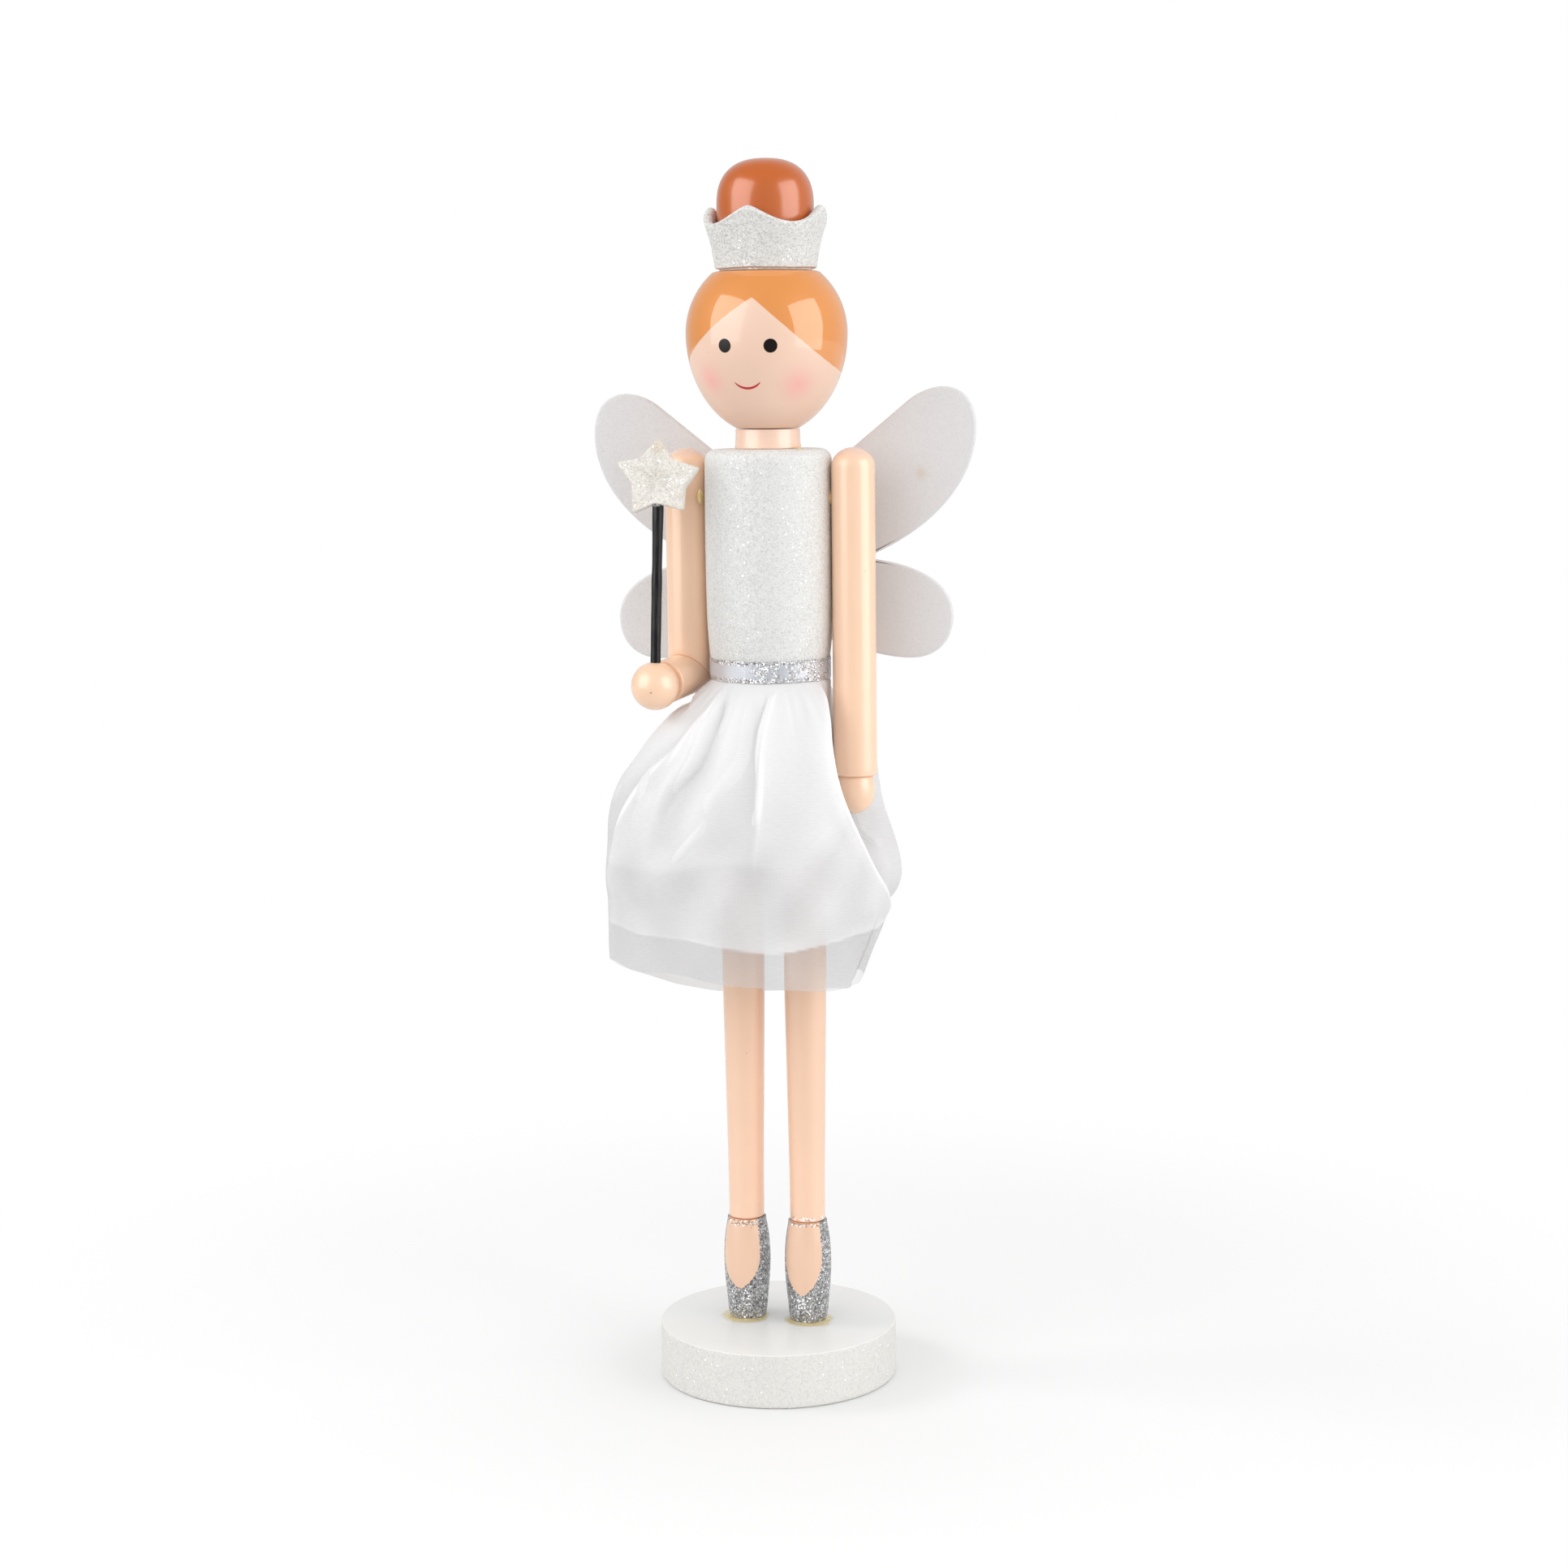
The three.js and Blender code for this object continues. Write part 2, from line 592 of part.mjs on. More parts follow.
// The wand's stick, or its socket in the hand when it is made larger by a clearance.
function wandStick(clearance = 0) {
  const skin = HAND_RIGHT_DIAMETER / 2;
  const bottom = skin - WAND_IN_HAND - clearance;
  return onWand(drill(WAND_DIAMETER + 2 * clearance, 0, 0, bottom, skin + WAND_ABOVE_HAND, PIN));
}

// Wand: a round stick set in the hand, with a thick star glued on its end by a notch.
function makeWand() {
  add("wand_stick", wandStick(), finishes.black);
  const outline = new THREE.Shape(
    Array.from({ length: 2 * STAR_POINTS }, (_, i) => {
      const radius = i % 2 ? STAR_INNER_RADIUS : STAR_OUTER_RADIUS;
      const angle = Math.PI / 2 + (i * Math.PI) / STAR_POINTS;
      return new THREE.Vector2(radius * Math.cos(angle), radius * Math.sin(angle));
    }),
  );
  const star = new THREE.ExtrudeGeometry(outline, {
    depth: STAR_THICKNESS - 2 * STAR_EDGE,
    bevelThickness: STAR_EDGE,
    bevelSize: STAR_EDGE,
    bevelOffset: -STAR_EDGE,
    bevelSegments: 1,
  });
  const lean = THREE.MathUtils.degToRad(STAR_LEAN_BACK_DEG);
  const halfPoint = Math.PI / STAR_POINTS;
  const notchSlope =
    (STAR_OUTER_RADIUS * Math.cos(halfPoint) - STAR_INNER_RADIUS) / (STAR_OUTER_RADIUS * Math.sin(halfPoint));
  const notchDrop = (WAND_DIAMETER / 2) * (notchSlope + Math.sin(lean));
  const seat = STAR_INNER_RADIUS + notchDrop + GLUE_GAP;
  star.translate(0, 0, STAR_EDGE - STAR_THICKNESS / 2).rotateX(Math.PI / 2 - lean);
  star.translate(0, 0, HAND_RIGHT_DIAMETER / 2 + WAND_ABOVE_HAND + seat);
  add("wand_star", onWand(star), finishes.whiteGlitter);
}

// Wings: one flat sheet of four rounded lobes, glued to the flat on the torso's back.
function makeWings() {
  const middle = WING_MIDDLE_ABOVE_WAIST - TORSO_HEIGHT;
  const foot = middle - WING_FOOT_BELOW_MIDDLE;
  const footX = WING_LOWER_HALF_SPAN - WING_FOOT_INSIDE_TIP;
  const tip = [WING_HALF_SPAN, WING_TIP_HEIGHT];
  const notch = [WING_NOTCH_HALF_WIDTH, -WING_NOTCH_DROP];
  const lowerTip = [WING_LOWER_HALF_SPAN, -WING_LOWER_TIP_DROP];
  const from = ([x, z], right, up) => [x + right, z + up];
  // One half, from the vee between the upper lobes round to the middle: each row after the first is a
  // curve, as two handles and its end.
  const rows = [
    [[WING_STRAIGHT_END.x, WING_STRAIGHT_END.z]],
    [[tip[0] - WING_TOP_PULL, WING_TOP_HEIGHT], [tip[0], WING_TOP_HEIGHT], tip],
    [from(tip, 0, -WING_TIP_PULL), from(notch, WING_NOTCH_PULL.x, WING_NOTCH_PULL.z), notch],
    [
      from(notch, WING_LOWER_TOP_PULL.x, -WING_LOWER_TOP_PULL.z),
      from(lowerTip, 0, WING_LOWER_TIP_PULL.up),
      lowerTip,
    ],
    [from(lowerTip, 0, -WING_LOWER_TIP_PULL.down), [footX + WING_FOOT_PULL.out, foot], [footX, foot]],
    [[footX - WING_FOOT_PULL.in, foot], [WING_MIDDLE_PULL.x, middle - WING_MIDDLE_PULL.z], [0, middle]],
  ];
  const outline = new THREE.Shape();
  outline.moveTo(0, -WING_VEE_DROP);
  outline.lineTo(...rows[0][0]);
  rows.slice(1).forEach((curve) => outline.bezierCurveTo(...curve.flat()));
  // The other half is the same curves mirrored, and runs back up, so each is turned end for end.
  for (let i = rows.length - 1; i > 0; i--) {
    const [first, second] = rows[i];
    const end = rows[i - 1].at(-1);
    outline.bezierCurveTo(...[second, first, end].flatMap(([x, z]) => [-x, z]));
  }
  const panel = new THREE.ExtrudeGeometry(outline, {
    depth: WING_THICKNESS,
    bevelEnabled: false,
    curveSegments: 8,
  });
  panel.rotateX(Math.PI / 2).translate(0, BACK_FLAT_Y + WING_THICKNESS, TORSO_TOP);
  add("wing_panel", panel, finishes.wing);
}

// Ribbon: a flat band over the gathered tops of the skirt layers, just under the torso's edge.
function makeRibbon() {
  const band = turned(
    [
      [RIBBON_INNER, RIBBON_BOTTOM],
      [RIBBON_OUTER, RIBBON_BOTTOM],
      [RIBBON_OUTER, RIBBON_TOP],
      [RIBBON_INNER, RIBBON_TOP],
      [RIBBON_INNER, RIBBON_BOTTOM],
    ],
    WIDE,
  );
  add("waist_ribbon", band, finishes.ribbon);
}

// Skirt. Each layer is a thin closed shell on the same folds, set in from the one outside it.
const SKIRT_LENGTH = Math.max(...Object.values(SKIRT_LAYER_LENGTHS));
const SKIRT_HEM = WAIST - SKIRT_LENGTH;
const { clamp, degToRad, lerp, radToDeg, smoothstep } = THREE.MathUtils;

// Share of the way down from the ribbon to the longest layer's hem.
const fallAt = (z) => clamp((RIBBON_BOTTOM - z) / (RIBBON_BOTTOM - SKIRT_HEM), 0, 1);

// How far an angle in degrees lies from a direction, from 0 to 180.
const turnFrom = (angle, direction) => Math.abs(((angle - direction + 540) % 360) - 180);

// 1 within the inner half-width of a direction, falling smoothly to 0 at the outer one.
const facing = (angle, direction, inner, outer) =>
  1 - smoothstep(turnFrom(angle, direction), inner, outer);

// An arm that presses the cloth in, from one point of its axis to another: the share of the cloth that
// it presses at an angle and a height, and the radius that it leaves.
function presser(start, end, bottom, reach) {
  const angleOf = (point) => (radToDeg(Math.atan2(point.y, point.x)) + 360) % 360;
  const distanceOf = (point) => Math.hypot(point.x, point.y);
  const first = angleOf(start);
  const width = angleOf(end) - first;
  const shadow = radToDeg(Math.asin((ARM_RADIUS + CLOTH_CLEARANCE) / distanceOf(start)));
  const inner = width / 2 + shadow + PRESS_MARGIN_DEG;
  return {
    share: (angle, z) =>
      facing(angle, first + width / 2, inner, inner + PRESS_FADE_DEG) *
      smoothstep(z, bottom - reach, bottom - CLOTH_CLEARANCE),
    radius: (angle) => {
      const along = width ? clamp((angle - first - shadow) / width, 0, 1) : 0;
      return lerp(distanceOf(start), distanceOf(end), along) - ARM_RADIUS - CLOTH_CLEARANCE;
    },
  };
}

const handLeft = new THREE.Vector3(ARM_X, 0, ARM_TOP - ARM_LEFT_LENGTH - GLUE_GAP - HAND_LEFT_LENGTH);
const pressers = [
  presser(handLeft, handLeft, handLeft.z, PRESS_REACH.hand),
  presser(ELBOW, HAND_RIGHT_CENTRE, ELBOW.z - ARM_RADIUS, PRESS_REACH.elbow),
];

const pressed = (angle, z) => Math.max(...pressers.map((arm) => arm.share(angle, z)));

// Depth of the pleats as a share of their deepest, which is two fifths of the way down.
const pleatDepth = (fall) => (fall * (1 - fall) ** 1.5) / (0.4 * 0.6 ** 1.5) + PLEAT_HEM_SHARE * fall;

// Outside radius of the outer layer: it swells from the ribbon, is tucked in on the left side
// towards the hem, and is folded in pleats that run out before the hem.
function skirtRadius(angle, z) {
  const fall = fallAt(z);
  const turn = degToRad(angle);
  const flare =
    SKIRT_MEAN_FLARE - SKIRT_SIDE_FLARE * Math.cos(turn) - SKIRT_FRONT_FLARE * Math.cos(2 * turn);
  const swell = 1 - (1 - Math.min(fall / SKIRT_FULL_AT, 1)) ** 2;
  const { at, inner, outer } = SKIRT_TUCK_DEG;
  const tuck = SKIRT_SIDE_TUCK * facing(angle, at, inner, outer) * smoothstep(fall, SKIRT_TUCK_FROM, 1);
  const valley = 1 - Math.abs(Math.sin((degToRad(angle - PLEAT_AT_DEG) * PLEATS) / 2));
  const free = GATHER_RADIUS + flare * swell - tuck - PLEAT_DEPTH * pleatDepth(fall) * valley;
  return pressers.reduce(
    (radius, arm) => lerp(radius, Math.min(radius, arm.radius(angle)), arm.share(angle, z)),
    free,
  );
}

function makeSkirtLayer(name, layer, length) {
  const around = 6 * PLEATS;
  const hem = WAIST - length;
  const levels = SKIRT_ROWS.map((share) => lerp(RIBBON_BOTTOM, SKIRT_HEM, share))
    .concat(LAYER_NAMES.map((each) => WAIST - SKIRT_LAYER_LENGTHS[each]))
    .filter((z) => z > hem + CLOTH_THICKNESS || z === hem)
    .sort((a, b) => b - a);
  const rows = [RIBBON_TOP, ...levels];
  const wall = (inset) =>
    rows.flatMap((z) =>
      Array.from({ length: around }, (_, i) => {
        const angle = (PLEAT_AT_DEG + (i * 360) / around) % 360;
        const turn = degToRad(angle);
        const spread = 1 + LAYER_SPREAD * fallAt(z) * (1 - pressed(angle, z));
        const radius = skirtRadius(angle, z) - layer * LAYER_STEP * spread - inset;
        return [radius * Math.cos(turn), radius * Math.sin(turn), z];
      }),
    );
  const points = [...wall(0), ...wall(CLOTH_THICKNESS)];
  const inside = rows.length * around;
  const index = [];
  const quad = (a, b, c, d) => index.push(a, b, c, a, c, d);
  for (let i = 0; i < around; i++) {
    const j = (i + 1) % around;
    for (let row = 0; row + 1 < rows.length; row++) {
      const here = row * around;
      const below = here + around;
      quad(here + i, below + i, below + j, here + j);
      quad(inside + here + i, inside + here + j, inside + below + j, inside + below + i);
    }
    const last = inside - around;
    quad(i, j, inside + j, inside + i);
    quad(last + j, last + i, inside + last + i, inside + last + j);
  }
  const geometry = new THREE.BufferGeometry();
  geometry.setAttribute("position", new THREE.Float32BufferAttribute(points.flat(), 3));
  geometry.setIndex(index);
  geometry.computeVertexNormals();
  add(name, geometry, finishes.organza);
}

makeBase();
makeLegs();
makeTorso();
makeNeck();
makeHead();
makeCrown();
makeBun();
makeLeftArm();
makeRightArm();
makeShoulderPins();
makeWand();
makeWings();
makeRibbon();
LAYER_NAMES.forEach((name, layer) => makeSkirtLayer(name, layer, SKIRT_LAYER_LENGTHS[name]));

export default figure;
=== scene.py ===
# %% [markdown]
# # A turned wooden fairy on a round base
# The figure is glued up from turned, sawn and sewn pieces, and nothing on it moves. The CAD model says
# where each piece stands. Here every piece that shows is laid again as a fine surface in the same place,
# so that its eased edges, folds, glitter and painted marks can be drawn as they are on the real one.

import bpy
import numpy as np
from mathutils import Matrix


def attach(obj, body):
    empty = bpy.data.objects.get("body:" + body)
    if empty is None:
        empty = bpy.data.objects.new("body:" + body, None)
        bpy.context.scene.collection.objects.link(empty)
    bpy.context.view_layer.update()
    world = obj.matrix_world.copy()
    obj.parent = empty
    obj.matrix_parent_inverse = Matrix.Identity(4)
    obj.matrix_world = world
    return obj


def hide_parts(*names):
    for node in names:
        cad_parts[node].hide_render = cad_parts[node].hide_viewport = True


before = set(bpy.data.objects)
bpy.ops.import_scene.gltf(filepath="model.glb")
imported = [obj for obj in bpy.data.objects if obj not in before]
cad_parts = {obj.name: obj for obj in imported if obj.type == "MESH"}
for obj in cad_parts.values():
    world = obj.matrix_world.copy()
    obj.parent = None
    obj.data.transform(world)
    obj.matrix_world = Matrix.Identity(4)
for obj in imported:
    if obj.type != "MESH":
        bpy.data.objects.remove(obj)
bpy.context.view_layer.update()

# %% [markdown]
# ## Turned pieces
# Most of the figure came off a lathe. A cylinder could be scaled and bevelled by hand, but a lathe works
# from a profile. So a turned piece is its profile here too: points of radius and height, swept about an
# axis as one grid of rings, with a pole that closes each end.

# %% Turned pieces
TURN = 2 * np.pi


def turns(count):
    """Evenly spaced angles of one full turn, in radians."""
    return np.linspace(0, TURN, count, endpoint=False)


def steps(rows, cols):
    """Faces of a grid that closes on itself sideways: each corner's point, with its row and column."""
    row, col = np.mgrid[0 : rows - 1, 0:cols].reshape(2, -1, 1)
    row, col = row + [0, 0, 1, 1], col + [0, 1, 1, 0]
    return row * cols + col % cols, row, col


def caps(rows, cols):
    """Fans that close a grid of rows at its first and last row, on two points that follow the grid's own."""
    here = np.arange(cols)
    after, last = (here + 1) % cols, (rows - 1) * cols
    pole = np.full(cols, rows * cols)
    return [np.stack([after, here, pole], -1), np.stack([last + here, last + after, pole + 1], -1)]


def closed(rows, poles):
    """Closed skin over a grid of rings: the grid's points and two poles, with a fan of faces on each."""
    count, sides = rows.shape[:2]
    return np.concatenate([rows.reshape(-1, 3), poles]), [steps(count, sides)[0], *caps(count, sides)]


def lathe(profile, ends=None, sides=128, axis=(0, 0), wave=0):
    """Turned solid: x = radius cos(turn), y = radius sin(turn), for (radius, height) points going up.

    ends are the heights of the two poles, and wave an uneven share of the radius at each turn."""
    radius, height = np.asarray(profile, float).T[..., None]
    turn = turns(sides)
    radius = radius * (1 + wave)
    rings = np.stack(np.broadcast_arrays(radius * np.cos(turn), radius * np.sin(turn), height), -1)
    low, high = ends or (height[0, 0], height[-1, 0])
    points, faces = closed(rings, [[0, 0, low], [0, 0, high]])
    return points + [*axis, 0], faces


def arc(radius, height, size, start, end, count=7):
    """Points (radius, height) on a round edge, of one size or two half-axes, between angles in degrees."""
    angle = np.radians(np.linspace(start, end, count))
    wide, tall = np.broadcast_to(size, 2)
    return np.stack([radius + wide * np.cos(angle), height + tall * np.sin(angle)], -1)


print("a disc of 8 sides has", len(lathe([(1, 0), (1, 1)], sides=8)[0]), "points")

# %% [markdown]
# ## Smooth and uneven lines
# A turner's curve is smooth, and nothing made by hand is quite even. A Bezier curve could be drawn in
# the view, but knots read off the object are easier to correct. So a smooth line runs through a few
# knots, and an uneven one is a sum of sines of whole turns, so that it closes on itself.

# %% Smooth and uneven lines
def through(x, knots):
    """Smooth line through knots: cubic pieces that take their slope from the knots on either side."""
    knots = np.array(knots, float)
    at, value = knots[knots[:, 0].argsort()].T
    slope = np.gradient(value, at)
    i = np.clip(np.searchsorted(at, x, side="right") - 1, 0, len(at) - 2)
    wide = at[i + 1] - at[i]
    t = np.clip((x - at[i]) / wide, 0, 1)
    rise = t * t * (3 - 2 * t)
    bend = wide * (slope[i] * t * (1 - t) ** 2 - slope[i + 1] * t * t * (1 - t))
    return value[i] + (value[i + 1] - value[i]) * rise + bend


def wobble(turn, seed, slowest, quickest):
    """Uneven closed line of about unit height: sines of whole turns, weaker the quicker they are."""
    rng = np.random.default_rng(seed)
    waves = np.arange(slowest, quickest + 1).reshape(-1, *[1] * np.ndim(turn))
    height = rng.normal(size=waves.shape) * slowest / waves
    lines = height * np.sin(waves * turn + rng.uniform(0, TURN, waves.shape))
    return lines.sum(0) / np.sqrt((height**2).sum() / 2)


print("a line through 0, 1 and 0 reaches", through(0.5, [(0, 0), (1, 1), (2, 0)]), "half way up")

# %% [markdown]
# ## Laying a piece
# Each finished piece is a mesh whose place is in its points, so that its object needs no move. It hides the
# CAD solids that it stands for and has its finish as its material. Its shading is smooth where faces meet at
# a small angle and sharp where they meet at a large one. Numbers that only a finish needs, such as how many
# sheets of cloth lie on one another, are kept at its points.

# %% Laying a piece
MM = 0.001


def lay(name, shape, material, nodes, uv=None, sharp=40):
    """One piece that rides on the figure: points in millimetres and its faces, standing for CAD nodes."""
    points, faces = shape
    mesh = bpy.data.meshes.new(name)
    corners = [face_corners for block in faces for face_corners in block.tolist()]
    mesh.from_pydata((points * MM).tolist(), [], corners)
    if uv is not None:
        mesh.uv_layers.new(name="Cloth").data.foreach_set("uv", uv.astype(np.float32).ravel())
    mesh.shade_smooth()
    mesh.set_sharp_from_angle(angle=np.radians(sharp))
    mesh.materials.append(material)
    piece = bpy.data.objects.new(name, mesh)
    bpy.context.scene.collection.objects.link(piece)
    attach(piece, "root")
    if nodes:
        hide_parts(*nodes)
    print(f"{name}: {len(points)} points, z {points[:, 2].min():.1f} to {points[:, 2].max():.1f} mm")
    return piece


def note(piece, label, values):
    """Keeps one number at each point of a piece, for its finish to read."""
    kept = piece.data.attributes.new(label, "FLOAT", "POINT")
    kept.data.foreach_set("value", values.astype(np.float32).ravel())


print("one millimetre is", MM, "of the scene's units")

# %% [markdown]
# ## Shader nodes in short
# All finishes are paint, glitter, foil or thread, drawn by rule from a point's place on the object. A
# few short functions make the nodes, so that each finish below reads as what is on the wood.

# %% Shader nodes in short
def linear(*rgb):
    """Shader colour of a paint that is read as these 0 to 255 values."""
    share = np.array(rgb, float) / 255
    return (*np.where(share > 0.04045, ((share + 0.055) / 1.055) ** 2.4, share / 12.92), 1.0)


def node(tree, kind, values=(), **settings):
    """A shader node with its settings made, and its inputs set to numbers or joined to sockets."""
    made = tree.nodes.new("ShaderNode" + kind)
    for key, value in settings.items():
        setattr(made, key, value)
    for key, value in dict(values).items():
        if isinstance(value, bpy.types.NodeSocket):
            tree.links.new(value, made.inputs[key])
        else:
            made.inputs[key].default_value = value
    return made


def calc(tree, operation, *values):
    """One step of arithmetic on numbers or sockets."""
    return node(tree, "Math", enumerate(values), operation=operation).outputs[0]


def vector(tree, operation, *values):
    """One step of arithmetic on places or colours."""
    made = node(tree, "VectorMath", enumerate(values), operation=operation)
    return made.outputs["Value" if operation in ("DOT_PRODUCT", "DISTANCE", "LENGTH") else "Vector"]


def ramp(tree, value, start, end, low=0.0, high=1.0):
    """Smooth change from low, where the value is start, to high, where it is end."""
    ends = {"Value": value, "From Min": start, "From Max": end, "To Min": low, "To Max": high}
    return node(tree, "MapRange", ends, interpolation_type="SMOOTHSTEP").outputs["Result"]


def mix(tree, share, first, second):
    """The first colour where the share is 0, and the second where it is 1."""
    return node(tree, "Mix", {0: share, 6: first, 7: second}, data_type="RGBA").outputs[2]


def noise(tree, place, scale, detail=2.0):
    """Cloudy value from 0 to 1, with about this many clouds in a millimetre."""
    return node(tree, "TexNoise", {"Vector": place, "Scale": scale, "Detail": detail}).outputs["Fac"]


def split(tree, place):
    """The x, y and z of a place."""
    return node(tree, "SeparateXYZ", {0: place}).outputs


def bump(tree, height, strength, distance=0.0004):
    """Surface direction as if the height were carved into it."""
    return node(tree, "Bump", {"Height": height, "Strength": strength, "Distance": distance}).outputs[0]


print("mid grey is", round(linear(128, 128, 128)[0], 3), "to the shader")

# %% [markdown]
# ## Groups and finishes
# A group is an effect that several finishes share, such as glitter, with its own inputs and outputs. It
# only puts out colours, masks, values and normals. The shader itself stays in each finish, where numbers
# that are the same all over are set on it, and patterns follow the object's own place in millimetres.

# %% Groups and finishes
SOCKETS = {"f": "NodeSocketFloat", "v": "NodeSocketVector", "c": "NodeSocketColor"}


def group(name, takes, gives):
    """A new node group, with what it takes and what it gives ready to be joined."""
    tree = bpy.data.node_groups.new(name, "ShaderNodeTree")
    for label, kind in takes.items():
        tree.interface.new_socket(label, in_out="INPUT", socket_type=SOCKETS[kind])
    for label, kind in gives.items():
        tree.interface.new_socket(label, in_out="OUTPUT", socket_type=SOCKETS[kind])
    print(f"group {name} takes {', '.join(takes)} and gives {', '.join(gives)}")
    return tree, tree.nodes.new("NodeGroupInput").outputs, tree.nodes.new("NodeGroupOutput").inputs


def give(tree, sockets, **values):
    """Joins values to the sockets of these names."""
    for label, value in values.items():
        tree.links.new(value, sockets[label])


def use(tree, name, **values):
    """A group in a tree. Its inputs are named with underscores for spaces."""
    values = {key.replace("_", " "): value for key, value in values.items()}
    return node(tree, "Group", values, node_tree=bpy.data.node_groups[name]).outputs


def finish(name, **constants):
    """A material, its shader with the constants set, and the object's own place in millimetres."""
    made = bpy.data.materials.new(name)
    made.use_nodes = True
    tree = made.node_tree
    shader = tree.nodes["Principled BSDF"].inputs
    for key, value in constants.items():
        shader[key.replace("_", " ")].default_value = value
    print(f"finish {name}")
    place = vector(tree, "MULTIPLY", node(tree, "TexCoord").outputs["Object"], (1000, 1000, 1000))
    return made, tree, shader, place


print("sockets", SOCKETS)

# %% [markdown]
# ## Glitter
# Glitter is a dusting of tiny foil flakes on wet paint. Each flake lies at its own tilt, so most look
# like pale or dark grains and a few flash. It could be modelled flake by flake, but hundreds of
# thousands would be needed. A cell pattern with a random value in each cell gives every flake its shade,
# its tilt and its chance to flash.

# %% Glitter group
tree, take, to = group(
    "Glitter",
    {"Place": "v", "Flake": "f", "Colour": "c", "Depth": "f", "Spark": "f", "Tilt": "f"},
    {"Colour": "c", "Roughness": "f", "Metallic": "f", "Normal": "v", "Grain": "f"},
)
scaled = vector(tree, "MULTIPLY", take["Place"], calc(tree, "DIVIDE", 1.0, take["Flake"]))
cell = node(tree, "TexVoronoi", {"Vector": scaled, "Scale": 1.0}).outputs["Color"]
parts = node(tree, "SeparateColor", {0: cell}).outputs
dark = calc(tree, "MULTIPLY", take["Depth"], calc(tree, "POWER", parts[0], 2.5))
shade = calc(tree, "SUBTRACT", 1.0, dark)
spark = calc(tree, "GREATER_THAN", parts[1], calc(tree, "SUBTRACT", 1.0, take["Spark"]))
flake = vector(tree, "MULTIPLY", take["Colour"], shade)
tilt = vector(tree, "MULTIPLY", vector(tree, "SUBTRACT", cell, (0.5, 0.5, 0.5)), take["Tilt"])
lean = vector(tree, "NORMALIZE", vector(tree, "ADD", node(tree, "NewGeometry").outputs["Normal"], tilt))
give(
    tree,
    to,
    Colour=mix(tree, spark, flake, (1, 1, 1, 1)),
    Roughness=calc(tree, "MULTIPLY_ADD", spark, -0.25, 0.55),
    Metallic=calc(tree, "MULTIPLY", spark, 0.6),
    Normal=lean,
    Grain=parts[0],
)

# %% [markdown]
# ## Paint on turned wood
# The flesh, hair and bun are sprayed gloss paint. Sprayed paint is never quite even: it drifts a little
# in tone, has a faint orange-peel ripple and catches a few specks of dust. A slow noise, a fine noise
# and sparse small dots add that, so that the large plain areas do not look like plastic.

# %% Paint group
tree, take, to = group("Paint", {"Place": "v", "Colour": "c", "Drift": "f"}, {"Colour": "c", "Height": "f"})
slow = calc(tree, "SUBTRACT", noise(tree, take["Place"], 0.09), 0.5)
tone = calc(tree, "MULTIPLY_ADD", slow, take["Drift"], 1.0)
dust = node(tree, "TexVoronoi", {"Vector": take["Place"], "Scale": 0.17})
chosen = node(tree, "SeparateColor", {0: dust.outputs["Color"]}).outputs[0]
speck = calc(
    tree,
    "MULTIPLY",
    ramp(tree, dust.outputs["Distance"], 0.05, 0.02),
    calc(tree, "GREATER_THAN", chosen, 0.72),
)
coloured = vector(tree, "MULTIPLY", take["Colour"], tone)
give(
    tree,
    to,
    Colour=mix(tree, calc(tree, "MULTIPLY", speck, 0.45), coloured, linear(120, 84, 66)),
    Height=noise(tree, take["Place"], 0.6, 1.0),
)

# %% [markdown]
# ## Painted marks
# Eyes, cheeks, mouth, hairline and the slippers' edge are brushed or masked on, and follow simple lines
# on the wood: a dot about a point, one side of a plane, a bow, and a rounded throat about an axis. Each
# is a mask from the point's place, so its edge stays crisp at any distance.

# %% Mark groups
tree, take, to = group("Dot", {"Place": "v", "Centre": "v", "Radius": "f", "Soft": "f"}, {"Mask": "f"})
beyond = calc(tree, "SUBTRACT", vector(tree, "DISTANCE", take["Place"], take["Centre"]), take["Radius"])
give(tree, to, Mask=ramp(tree, beyond, take["Soft"], calc(tree, "MULTIPLY", take["Soft"], -1.0)))

tree, take, to = group("Side", {"Place": "v", "Normal": "v", "Offset": "f"}, {"Mask": "f"})
above = calc(tree, "SUBTRACT", vector(tree, "DOT_PRODUCT", take["Place"], take["Normal"]), take["Offset"])
give(tree, to, Mask=ramp(tree, above, -0.09, 0.09))

tree, take, to = group(
    "Bow",
    {"Place": "v", "Centre": "v", "Radius": "f", "Half turn": "f", "Half line": "f"},
    {"Mask": "f"},
)
x, y, z = split(tree, vector(tree, "SUBTRACT", take["Place"], take["Centre"]))
reach = calc(tree, "SQRT", calc(tree, "ADD", calc(tree, "MULTIPLY", x, x), calc(tree, "MULTIPLY", z, z)))
turn = calc(tree, "ARCTAN2", x, calc(tree, "MULTIPLY", z, -1.0))
along = calc(tree, "DIVIDE", turn, take["Half turn"])
full = calc(tree, "SUBTRACT", 1.0, calc(tree, "MULTIPLY", along, along))
half = calc(tree, "MULTIPLY", take["Half line"], calc(tree, "SQRT", calc(tree, "MAXIMUM", full, 0.0)))
off = calc(tree, "SUBTRACT", calc(tree, "ABSOLUTE", calc(tree, "SUBTRACT", reach, take["Radius"])), half)
line = calc(tree, "MULTIPLY", ramp(tree, off, 0.05, -0.05), ramp(tree, full, 0.0, 0.03))
give(tree, to, Mask=calc(tree, "MULTIPLY", line, calc(tree, "LESS_THAN", y, 0.0)))

